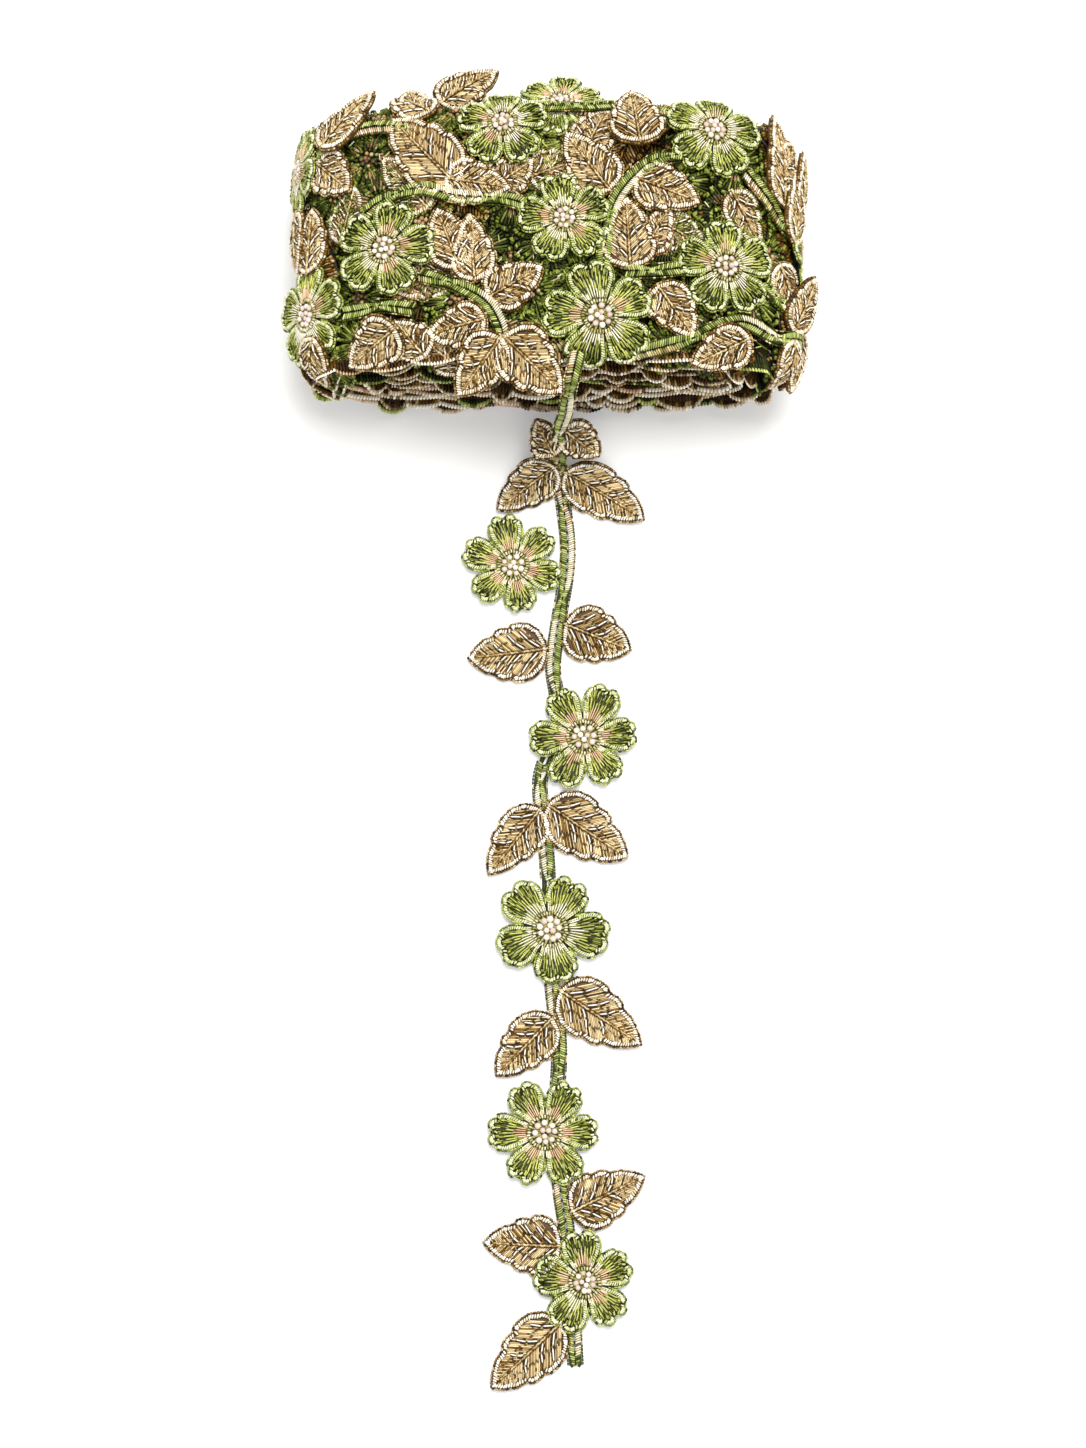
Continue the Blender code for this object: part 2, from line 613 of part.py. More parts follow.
def make_roll(collection, tools, green, gold):
    """The wound roll as one solid."""
    roll = make_core(collection, green)
    join_into(roll, make_turns(tools, green), False)
    flowers, bosses, leaves, stems = (Shell(roll_surface) for _ in range(4))
    for flower in place_rows(ROLL_FLOWERS, "around", "along"):
        add_flower(flowers, flower, -MOTIF_SINK, MOTIF_HEIGHT)
        add_boss(bosses, flower, 0.2 * MM, MOTIF_HEIGHT)
    for number, leaf in enumerate(place_rows(ROLL_LEAVES, "around", "along")):
        shade = 0.06 * MM * (number % 4)
        add_leaf(leaves, leaf, -MOTIF_SINK - shade, MOTIF_HEIGHT - 0.25 * MM - shade)
    for stem in ROLL_STEMS:
        route = smooth_route([(x * MM, y * MM) for x, y in stem], 4.5 * MM)
        add_cord(stems, route, STEM_WIDTH, -MOTIF_SINK + 0.1 * MM, STEM_HEIGHT - 0.5 * MM)
    join_into(roll, leaves.finish("roll leaves", tools, gold), True)
    join_into(roll, stems.finish("roll stems", tools, green), True)
    join_into(roll, flowers.finish("roll flowers", tools, green), True)
    join_into(roll, bosses.finish("roll flower middles", tools, green), False)
    settle(roll, tools)
    return roll


def make_loose_end(collection, tools, green, gold):
    """The loose end as one open strip: a waving stem with flowers and leaves."""
    stem_shell = Shell(strip_surface)
    stem = smooth_route([(row["x"] * MM, row["down"] * MM) for row in STRIP_STEM], 4.0 * MM)
    add_cord(stem_shell, stem, STEM_WIDTH, 0.0, STEM_HEIGHT)
    strip = stem_shell.finish("loose_end", collection, green)
    flowers, bosses, leaves, stalks = (Shell(strip_surface) for _ in range(4))
    for number, leaf in enumerate(place_rows(STRIP_LEAVES, "x", "down")):
        shade = 0.03 * MM * (number % 3 + 1)
        add_leaf(leaves, leaf, shade, STRIP_THICKNESS - shade)
        start = leaf_place(leaf, 0.30, 0.0)
        foot = nearest_on_route(stem, *leaf_place(leaf, -0.12, 0.0))
        if math.hypot(foot[0] - start[0], foot[1] - start[1]) > 2 * MM:
            add_cord(stalks, [start, foot], STALK_WIDTH, 0.15 * MM, STRIP_THICKNESS + 0.12 * MM)
    for flower in place_rows(STRIP_FLOWERS, "x", "down"):
        add_flower(flowers, flower, 0.02 * MM, STRIP_THICKNESS + 0.2 * MM)
        add_boss(bosses, flower, 0.5 * MM, STRIP_THICKNESS + 0.2 * MM)
    join_into(strip, leaves.finish("strip leaves", tools, gold), True)
    join_into(strip, stalks.finish("strip stalks", tools, green), True)
    join_into(strip, flowers.finish("strip flowers", tools, green), False)
    join_into(strip, bosses.finish("strip flower middles", tools, green), False)
    settle(strip, tools)
    return strip


def stand_on_origin(solids):
    """Move the solids together so that the middle of their footprint is the origin."""
    places = [vertex.co for solid in solids for vertex in solid.data.vertices]
    middle_x = (min(place.x for place in places) + max(place.x for place in places)) / 2
    middle_y = (min(place.y for place in places) + max(place.y for place in places)) / 2
    for place in places:
        place.x -= middle_x
        place.y -= middle_y
    print("moved by mm", -middle_x / MM, -middle_y / MM)


def main():
    clear_startup_objects()
    parts = bpy.data.collections.new("embroidered_lace_trim")
    tools = bpy.data.collections.new("joining_tools")
    bpy.context.scene.collection.children.link(parts)
    bpy.context.scene.collection.children.link(tools)
    green = material("green_thread", 0.21, 0.36, 0.05)
    gold = material("gold_thread", 0.58, 0.35, 0.10)
    stand_on_origin([make_roll(parts, tools, green, gold), make_loose_end(parts, tools, green, gold)])


main()
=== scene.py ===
# %% [markdown]
# # Embroidered lace trim
# The real object is a strip of machine embroidery on which the ground cloth was dissolved away, so only
# thread is left: flowers, leaves and a waving stem, held together by thin bars. Most of it is wound into a
# flat oval roll and one end lies out on the table. Everything a reader sees here is thread, so the lesson
# is how to lay many thousands of stitches along curves, cheaply and in the right colours.

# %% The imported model
import math

import bmesh
import bpy
import numpy as np
from mathutils import Matrix, Vector


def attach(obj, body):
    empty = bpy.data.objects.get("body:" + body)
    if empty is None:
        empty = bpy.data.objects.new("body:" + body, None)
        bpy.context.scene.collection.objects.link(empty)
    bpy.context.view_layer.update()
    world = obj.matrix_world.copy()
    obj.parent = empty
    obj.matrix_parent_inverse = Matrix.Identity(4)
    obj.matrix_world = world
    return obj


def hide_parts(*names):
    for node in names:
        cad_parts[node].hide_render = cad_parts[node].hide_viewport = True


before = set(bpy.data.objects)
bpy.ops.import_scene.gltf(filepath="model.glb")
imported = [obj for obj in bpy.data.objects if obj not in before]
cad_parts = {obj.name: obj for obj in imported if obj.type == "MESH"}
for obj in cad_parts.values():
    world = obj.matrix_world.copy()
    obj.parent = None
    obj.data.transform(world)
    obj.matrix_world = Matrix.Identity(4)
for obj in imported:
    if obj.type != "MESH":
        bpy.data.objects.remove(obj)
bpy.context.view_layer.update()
MM = 0.001
rng = np.random.default_rng(20)

# %% [markdown]
# ## Camera
# The photograph looks almost straight down, tipped a little towards the loose end. A long lens far away
# keeps the strip's sides parallel, which is how product pictures of trims are taken.

# %% The camera
FRAME_TALL = 1448
MM_A_PIXEL = 0.245
SENSOR_MM = 36.0
CAMERA_DISTANCE = 0.90
CAMERA_TILT = math.radians(12)
VIEW_CENTRE = Vector((-1.44 * MM, 3.78 * MM, 0.0))


def add_object(name, data):
    """A new object in the scene that holds the data."""
    made = bpy.data.objects.new(name, data)
    bpy.context.scene.collection.objects.link(made)
    return made


camera_data = bpy.data.cameras.new("camera")
camera_data.sensor_width = SENSOR_MM
camera_data.lens = SENSOR_MM * CAMERA_DISTANCE / (FRAME_TALL * MM_A_PIXEL * MM)
camera = add_object("camera", camera_data)
camera.location = VIEW_CENTRE + CAMERA_DISTANCE * Vector((0, -math.sin(CAMERA_TILT), math.cos(CAMERA_TILT)))
camera.rotation_euler = (CAMERA_TILT, 0, 0)
bpy.context.scene.camera = camera
print("lens in mm:", round(camera_data.lens, 1))

# %% [markdown]
# ## Where the thread lies
# Each motif is drawn flat, as on the embroidery machine, and then laid on a surface. There are two
# surfaces: the outside of the roll, and the loose end, which runs flat on the table and then climbs in
# front of the roll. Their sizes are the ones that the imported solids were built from. A place is (across,
# along, height), in metres.

# %% Sizes of the roll and of the loose end
ROLL_WIDTH, ROLL_HEIGHT, ROLL_LENGTH = 121 * MM, 47 * MM, 66 * MM
ROLL_MIDDLE_Y = 118.5 * MM
OVAL_POWER = 2.5
FLAT_SPOT_DEPTH = 0.5 * MM
ROLL_MIDDLE_Z = ROLL_HEIGHT / 2 - FLAT_SPOT_DEPTH
SHOULDER_RADIUS = {"front": 7 * MM, "far": 15 * MM}
SHOULDER_TURN = {"front": math.radians(60), "far": math.radians(58)}
FRONT_BEND_Y = (ROLL_MIDDLE_Y - ROLL_LENGTH / 2 + SHOULDER_RADIUS["front"] * math.sin(SHOULDER_TURN["front"]))
FAR_BEND_Y = (ROLL_MIDDLE_Y + ROLL_LENGTH / 2 - SHOULDER_RADIUS["far"] * math.sin(SHOULDER_TURN["far"]))
FLAT_FROM_Y = 60 * MM
DROP_PROFILE = np.array((
    (60.0, 0.0), (66.5, 0.8), (71.6, 4.2), (75.0, 11.0), (77.0, 22.0), (78.2, 33.0), (79.4, 38.0),
    (80.4, 41.4), (81.8, 43.2), (83.6, 44.0), (86.6, 44.6))) * MM
PACKED_SHIFT = np.array((0.057 * MM, -1.321 * MM, 0.0))


# %% The two surfaces
def xyz(across, along, height=0.0):
    """Places from their three measures. Each is a run of values, or one value for all of them."""
    return np.stack(np.broadcast_arrays(across, along, height), -1)


def distances(run):
    """How far along a run of flat places each of them lies."""
    return np.concatenate(([0.0], np.cumsum(np.hypot(*np.diff(run, axis=0).T))))


def oval_points(angle, half_width, half_height):
    """The X and Z of the roll's oval at an angle from its top."""
    sine, cosine = np.sin(angle), np.cos(angle)
    return (half_width * np.sign(sine) * np.abs(sine) ** (2 / OVAL_POWER),
            half_height * np.sign(cosine) * np.abs(cosine) ** (2 / OVAL_POWER))


oval_x, oval_z = oval_points(np.linspace(0, 2 * math.pi, 2881), ROLL_WIDTH / 2, ROLL_HEIGHT / 2)
oval_distance = distances(np.stack((oval_x, oval_z), 1))
OVAL_ROUND = oval_distance[-1]
slope_x, slope_z = np.gradient(oval_x), np.gradient(oval_z)
oval_out_x = -slope_z / np.hypot(slope_x, slope_z)
oval_out_z = slope_x / np.hypot(slope_x, slope_z)


def on_roll(places):
    """Places on the roll: across goes round it from the top, along goes towards its far end."""
    around = places[:, 0] % OVAL_ROUND
    x, z, out_x, out_z = (np.interp(around, oval_distance, values)
                          for values in (oval_x, oval_z, oval_out_x, oval_out_z))
    y, height = ROLL_MIDDLE_Y + places[:, 1], places[:, 2]
    inward, forward = -height.copy(), y.copy()
    for end, side, start in (("front", -1, FRONT_BEND_Y), ("far", 1, FAR_BEND_Y)):
        radius, limit = SHOULDER_RADIUS[end], SHOULDER_TURN[end]
        travel = np.maximum((y - start) * side, 0.0)
        turned = np.minimum(travel / radius, limit)
        beyond = np.maximum(travel - radius * limit, 0.0)
        sine, cosine = np.sin(turned), np.cos(turned)
        bent = travel > 0
        inward = np.where(bent, radius * (1 - cosine) + beyond * sine - height * cosine, inward)
        forward = np.where(bent, start + side * (radius * sine + beyond * cosine + height * sine), forward)
    return xyz(x - out_x * inward, forward, ROLL_MIDDLE_Z + z - out_z * inward) + PACKED_SHIFT


LEAN_AT_THE_TOP = 0.15
drop_distance = FLAT_FROM_Y + distances(DROP_PROFILE)
drop_slope = DROP_PROFILE[2:] - DROP_PROFILE[:-2]
drop_lean = np.concatenate(([0.0], np.arctan2(drop_slope[:, 1], drop_slope[:, 0]), [LEAN_AT_THE_TOP]))


def on_strip(places):
    """Places on the loose end: across is X, along is Y on the table and then the distance up the drop."""
    along, height = places[:, 1], places[:, 2]
    on_drop = along > FLAT_FROM_Y
    lean = np.where(on_drop, np.interp(along, drop_distance, drop_lean), 0.0)
    y = np.where(on_drop, np.interp(along, drop_distance, DROP_PROFILE[:, 0]), along)
    z = np.where(on_drop, np.interp(along, drop_distance, DROP_PROFILE[:, 1]), 0.0)
    return xyz(places[:, 0], y - np.sin(lean) * height, z + np.cos(lean) * height) + PACKED_SHIFT


print("round the roll in mm:", round(OVAL_ROUND / MM, 1), "strip up to", round(drop_distance[-1] / MM, 1))


# %% [markdown]
# ## Thread materials
# The thread is taken to be viscose rayon machine embroidery thread, 40 weight: about 0.4 mm wide, twisted,
# with a soft silky gloss. The stitches here are drawn wider than that, so that they show at this size. Each
# dye colour is one material. Every stitch carries a tone, a random number kept as an attribute, which picks
# its place between the colour's shaded and lit hex values, as a real satin stitch catches light by its
# direction. Under a tone of a quarter the colour falls to a deep shade, as thread does low down between
# others.

# %% Colour and node helpers
THREAD_FUZZ_MM = 0.32
FUZZ_SHARE = 0.5
SHADED_AT = 0.25
DEEP_SHARE = 0.17
THREAD_SHEEN = {"Roughness": 0.48, "Specular IOR Level": 0.22}
TWIST = {"Strength": 0.25, "Distance": 0.12 * MM}


def linear(hex_colour):
    """An sRGB hex value as a linear colour with alpha."""
    values = [int(hex_colour[i:i + 2], 16) / 255 for i in (1, 3, 5)]
    return [v / 12.92 if v <= 0.04045 else ((v + 0.055) / 1.055) ** 2.4 for v in values] + [1.0]


def add_node(tree, kind, settings=None, links=None):
    """Add a node: settings are its properties or socket values, links feed its sockets."""
    node = tree.nodes.new(kind)
    for name, value in (settings or {}).items():
        if isinstance(name, int) or name in node.inputs:
            node.inputs[name].default_value = value
        else:
            setattr(node, name, value)
    for name, source in (links or {}).items():
        tree.links.new(source, node.inputs[name])
    return node


def set_sockets(node, values):
    """Give a node's sockets their values."""
    for name, value in values.items():
        node.inputs[name].default_value = value


def new_material(name, values):
    """A material and its node tree. The values are the shader's."""
    made = bpy.data.materials.new(name)
    made.use_nodes = True
    set_sockets(made.node_tree.nodes["Principled BSDF"], values)
    return made, made.node_tree


def finish_shader(tree, colour, height, bump_values):
    """Feed a colour and a bump from a height into a material's shader."""
    shader = tree.nodes["Principled BSDF"]
    bump = add_node(tree, "ShaderNodeBump", bump_values, {"Height": height})
    tree.links.new(colour, shader.inputs["Base Color"])
    tree.links.new(bump.outputs["Normal"], shader.inputs["Normal"])


def rayon_thread(name, shaded, lit):
    """Rayon embroidery thread in one dye colour."""
    made, tree = new_material(name, THREAD_SHEEN)
    tone = add_node(tree, "ShaderNodeAttribute", {"attribute_name": "tone"})
    place = add_node(tree, "ShaderNodeTexCoord")
    fuzz = add_node(tree, "ShaderNodeTexNoise", {"Scale": 1 / (THREAD_FUZZ_MM * MM), "Detail": 2.0},
                    {"Vector": place.outputs["Object"]})
    shift = add_node(tree, "ShaderNodeMath", {"operation": "MULTIPLY_ADD", 1: FUZZ_SHARE, 2: -FUZZ_SHARE / 2},
                     {0: fuzz.outputs["Fac"]})
    uneven = add_node(tree, "ShaderNodeMath", {"operation": "ADD", "use_clamp": True},
                      {0: tone.outputs["Fac"], 1: shift.outputs[0]})
    colour = add_node(tree, "ShaderNodeValToRGB", links={"Fac": uneven.outputs[0]})
    stops = colour.color_ramp.elements
    stops[0].color = [DEEP_SHARE * value for value in linear(shaded)[:3]] + [1.0]
    stops[1].color = linear(lit)
    stops.new(SHADED_AT).color = linear(shaded)
    finish_shader(tree, colour.outputs["Color"], fuzz.outputs["Fac"], TWIST)
    return made


# %% The dye colours
PAINTS = (
    ("petal green", "#525C04", "#D9DC76"),
    ("edge green", "#768424", "#D2D880"),
    ("pale green edge", "#B2B96C", "#FAFADA"),
    ("peach", "#BE8856", "#FCDCBC"),
    ("ivory", "#DCD0A4", "#FEFAEA"),
    ("rose white knot", "#A98D78", "#FBEEE4"),
    ("leaf gold", "#8A6216", "#FBE6B4"),
    ("leaf brown", "#3A2200", "#94661C"),
    ("leaf cream", "#DCCCAA", "#FFFCF4"),
    ("leaf beige", "#D2B88C", "#FFF8E6"),
    ("stem green", "#6C7C1E", "#D6DC90"),
    ("dark green", "#1C2000", "#5C6410"),
    ("rose tan", "#B88C62", "#F6DCC0"),
    ("ring straw", "#A0984E", "#F6F0CC"),
)
threads = [rayon_thread(name, shaded, lit) for name, shaded, lit in PAINTS]
paint_number = {name: number for number, (name, _, _) in enumerate(PAINTS)}


# %% [markdown]
# ## One stitch
# A stitch is a short length of thread that rises out of the cloth, runs over it and goes down again. The
# prototype is a spindle of three sides, pointed at both ends: twelve triangles, and closed. It is made once
# with bmesh operators and read into arrays, and every stitch of a piece is then a stretched copy of it in
# one joined mesh.

# %% The stitch and knot prototypes
def edges_among(edges, verts):
    """The edges that have both ends among the vertices."""
    return [edge for edge in edges if all(vertex in verts for vertex in edge.verts)]


def grow(shape, edges):
    """Extrude a ring of edges. Returns the new vertices and the new ring of edges."""
    grown = bmesh.ops.extrude_edge_only(shape, edges=edges)["geom"]
    verts = [item for item in grown if isinstance(item, bmesh.types.BMVert)]
    return verts, edges_among([item for item in grown if isinstance(item, bmesh.types.BMEdge)], verts)


def read_prototype(shape):
    """The places and triangles of a small bmesh, as arrays."""
    bmesh.ops.triangulate(shape, faces=shape.faces)
    bmesh.ops.recalc_face_normals(shape, faces=shape.faces)
    shape.verts.ensure_lookup_table()
    places = np.array([vertex.co[:] for vertex in shape.verts])
    faces = np.array([[vertex.index for vertex in face.verts] for face in shape.faces])
    shape.free()
    return places, faces


def stitch_shape():
    """A spindle along Z from 0 to 1: a three-sided section, ridge up, between two points."""
    shape = bmesh.new()
    bmesh.ops.create_circle(shape, segments=3, radius=1.15)
    ring = list(shape.verts)
    bmesh.ops.translate(shape, verts=ring, vec=(0, 0, 0.2))
    upper, _ = grow(shape, shape.edges[:])
    bmesh.ops.translate(shape, verts=upper, vec=(0, 0, 0.6))
    for verts, level in ((ring, 0.0), (upper, 1.0)):
        tip, _ = grow(shape, edges_among(shape.edges, verts))
        bmesh.ops.pointmerge(shape, verts=tip, merge_co=(0, 0, level))
    return read_prototype(shape)


def knot_shape():
    """A small round knot of 56 triangles."""
    shape = bmesh.new()
    bmesh.ops.create_uvsphere(shape, u_segments=7, v_segments=5, radius=1.0)
    return read_prototype(shape)


STITCH_PLACES, STITCH_FACES = stitch_shape()
KNOT_PLACES, KNOT_FACES = knot_shape()
print("triangles in a stitch and a knot:", len(STITCH_FACES), len(KNOT_FACES))


# %% A piece of needlework
SECTION_HEIGHT = 0.8
KNOT_FLATTENED = np.array((1, 1, 0.8))
# painted shade: in the turns below, each pale paint gives way to a darker one
PAINTS_IN_SHADE = {"pale green edge": "edge green", "ring straw": "stem green", "rose white knot": "rose tan",
          "ivory": "edge green", "peach": "rose tan", "leaf beige": "leaf gold"}


class Needlework:
    """Stitches, knots and ground plates gathered for one piece, laid on one surface."""

    def __init__(self, surface, lift=0.0, shade=0.0, in_painted_shade=False):
        self.surface, self.lift, self.shade = surface, lift, shade
        self.used = np.arange(len(PAINTS))
        if in_painted_shade:
            for pale, other in PAINTS_IN_SHADE.items():
                self.used[paint_number[pale]] = paint_number[other]
        self.places, self.faces, self.paints, self.tones, self.count = [], [], [], [], 0

    def add(self, places, faces, paint, tone):
        """Copies of a prototype: places (copies, points, 3). Paint is a name, or a number for each copy."""
        copies, points = places.shape[:2]
        paint = paint_number[paint] if isinstance(paint, str) else paint
        tone = np.clip(np.broadcast_to(tone, copies) - self.shade, 0, 1)
        flat = places.reshape(-1, 3).copy()
        flat[:, 2] += self.lift
        firsts = np.arange(copies) * points + self.count
        self.places.append(self.surface(flat))
        self.faces.append((faces[None] + firsts[:, None, None]).reshape(-1, 3))
        self.paints.append(np.repeat(self.used[np.broadcast_to(paint, copies)], len(faces)))
        self.tones.append(np.repeat(tone, points))
        self.count += copies * points

    def stitches(self, start, end, thick, rise, paint, tone):
        """Straight stitches that rise in the middle. A stitch is about twice as wide as its thick."""
        start, end = np.atleast_2d(start), np.atleast_2d(end)
        run = end - start
        length = np.maximum(np.hypot(run[:, 0], run[:, 1]), 1e-9)
        side = xyz(-run[:, 1] / length, run[:, 0] / length)
        thick = np.broadcast_to(thick, len(run))[:, None]
        across, up, through = STITCH_PLACES.T
        hump = 4 * through * (1 - through)
        places = (start[:, None] + run[:, None] * through[None, :, None]
                  + side[:, None] * (across[None] * thick)[:, :, None])
        rise = np.broadcast_to(rise, len(run))[:, None]
        places[:, :, 2] += up[None] * thick * SECTION_HEIGHT + hump[None] * rise
        self.add(places, STITCH_FACES, paint, tone)

    def knots(self, middle, radius, paint, tone):
        """Round knots at the middles."""
        radius = np.broadcast_to(radius, len(middle))[:, None, None]
        places = middle[:, None] + KNOT_PLACES[None] * radius * KNOT_FLATTENED
        self.add(places, KNOT_FACES, paint, tone)

    def finish(self, name):
        """Make one joined mesh of all of it."""
        places, faces = np.concatenate(self.places), np.concatenate(self.faces)
        mesh = bpy.data.meshes.new(name)
        mesh.from_pydata(places.tolist(), [], faces.tolist())
        for paint in threads:
            mesh.materials.append(paint)
        mesh.polygons.foreach_set("material_index", np.concatenate(self.paints).astype(np.int32))
        mesh.polygons.foreach_set("use_smooth", np.ones(len(faces), dtype=bool))
        tone = mesh.attributes.new("tone", "FLOAT", "POINT")
        tone.data.foreach_set("value", np.concatenate(self.tones).astype(np.float32))
        mesh.update()
        print(name, "triangles:", len(faces))
        return add_object(name, mesh)


# %% [markdown]
# ## The ground
# The machine first lays a net of fine lockstitch, and the coloured thread covers it. Here it is a thin
# closed plate under each motif in dark green or brown, partly the net's own thread and partly painted
# shade, so that dark shows between the stitches. Two discs of rings are made with bmesh, a fine one and a
# plain one for the turns below, and one of them is stretched to each motif's outline.

# %% The ground disc
def disc_shape(sides, rings):
    """A closed disc of rings: top at level 1, underside at level 0."""
    shape = bmesh.new()
    rim = bmesh.ops.create_circle(shape, segments=sides, radius=1.0)["verts"]
    for level in (1, 0):
        current = edges_among(shape.edges, rim)
        if level:
            top, current = grow(shape, current)
            bmesh.ops.translate(shape, verts=top, vec=(0, 0, 1))
        before = 1.0
        for share in rings:
            verts, current = grow(shape, current)
            bmesh.ops.scale(shape, verts=verts, vec=(share / before, share / before, 1))
            before = share
        verts, _ = grow(shape, current)
        bmesh.ops.pointmerge(shape, verts=verts, merge_co=(0, 0, level))
    return read_prototype(shape)


class Disc:
    """A ground disc, with the angle and the share of the radius of each of its places."""

    def __init__(self, sides, rings):
        self.places, self.faces = disc_shape(sides, rings)
        self.angle = np.arctan2(self.places[:, 1], self.places[:, 0])
        self.share = np.hypot(self.places[:, 0], self.places[:, 1])


FINE_DISC, PLAIN_DISC = Disc(42, (0.7, 0.35)), Disc(24, (0.6,))
print("triangles in the ground discs:", len(FINE_DISC.faces), len(PLAIN_DISC.faces))
GROUND_LOW, GROUND_TOP = 0.15 * MM, 0.75 * MM
CUP_RADIUS = 13 * MM


def place_motif(motif, local):
    """Turn and move places drawn round a motif's own origin. Cup is its rim's lift in mm at 13 mm out."""
    angle = math.radians(motif["turn"])
    cosine, sine = math.cos(angle), math.sin(angle)
    placed = local.copy()
    from_middle = local[..., 0] ** 2 + local[..., 1] ** 2
    placed[..., 2] += motif.get("cup", 0.0) * MM * from_middle / CUP_RADIUS ** 2
    placed[..., 0] = motif["x"] * MM + local[..., 0] * cosine - local[..., 1] * sine
    placed[..., 1] = motif["y"] * MM + local[..., 0] * sine + local[..., 1] * cosine
    return placed


def lay_ground(work, motif, disc, middle, reach, paint, tone):
    """A ground disc under a motif, stretched to its outline."""
    level = GROUND_LOW + (GROUND_TOP - GROUND_LOW) * disc.places[:, 2]
    ground = xyz(middle + reach * np.cos(disc.angle), reach * np.sin(disc.angle), level)
    work.add(place_motif(motif, ground)[None], disc.faces, paint, tone)


def even_path(route, pitch):
    """Evenly spaced places along a route, with the direction and the left-hand side at each."""
    distance = distances(route)
    count = max(int(round(distance[-1] / pitch)), 2)
    wanted = (np.arange(count) + 0.5) * distance[-1] / count
    places, ahead, behind = (np.stack([np.interp(wanted + shift, distance, route[:, k]) for k in (0, 1)], 1)
                             for shift in (0.0, pitch * 0.4, -pitch * 0.4))
    forward = ahead - behind
    forward /= np.maximum(np.hypot(*forward.T), 1e-9)[:, None]
    return places, forward, np.stack((-forward[:, 1], forward[:, 0]), 1)


def raised(places, height):
    """Flat places with a height."""
    return xyz(*places.T, height)


def uneven_tones(middle, spread, count):
    """Tones for a run of stitches, scattered round a middle one."""
    return np.clip(rng.normal(middle, spread, count), 0, 1)


def alternate(count, even=1, odd=-1):
    """Two values by turns."""
    return np.where(np.arange(count) % 2 == 0, even, odd)


def motif_stitcher(work, motif, middle_x=0.0):
    """A way to lay stitches whose ends are drawn in a motif's own places, with its middle at middle_x."""

    def lay(start, end, thick, rise, paint, tone):
        ends = (place_motif(motif, places - (middle_x, 0.0, 0.0)) for places in (start, end))
        work.stitches(*ends, thick, rise, paint, tone)

    return lay


# %% [markdown]
# ## A flower
# Each petal is a heart with a waving edge: long radial satin stitches in green, a fan of peach or ivory
# lines at its foot, and a rope of pale green satin along its edge with a thin darker cord outside it. The
# middle is a ring of small straw-coloured stitches round eight or nine knots, with three more inside. The
# petals are drawn one by one, because real ones differ.

# %% The flower
PITCH = 0.62 * MM
FILL_PITCH = 0.50 * MM
FILL_THICK = 0.215 * MM
EDGE_WIDE = 1.25 * MM
CORD_PITCH = 0.84 * MM
PLAIN_UNDER = 0.9
PETAL_FILLS = 0.98
FINE_ROWS = ((0.76, 1.0), (0.62, 0.86), (0.48, 0.72), (0.31, 0.58))
PLAIN_ROWS = ((0.40, 1.0), (0.31, 0.62))
EYE_SPOTS = np.array((-0.74, -0.36, 0.0, 0.36, 0.74))
BESIDE_FAN = np.array((-0.9, -0.76, -0.62, 0.62, 0.76, 0.9))
PEACH_CHANCE = 0.55
RING_SHARE = 0.282
KNOT_RING, INNER_RING = 2.25 * MM, 0.75
KNOTS_FIT_RADIUS = 13.0 * MM


def petal_reach(across, notch, lobe, fullness):
    """How far a petal reaches at a place across it, from -1 to 1, as a share of the flower's radius."""
    body = 0.46 + 0.54 * (1 - np.abs(across) ** fullness) ** 0.57
    return body - notch * np.exp(-(across / 0.14) ** 2) - lobe * np.exp(-((np.abs(across) - 0.55) / 0.1) ** 2)


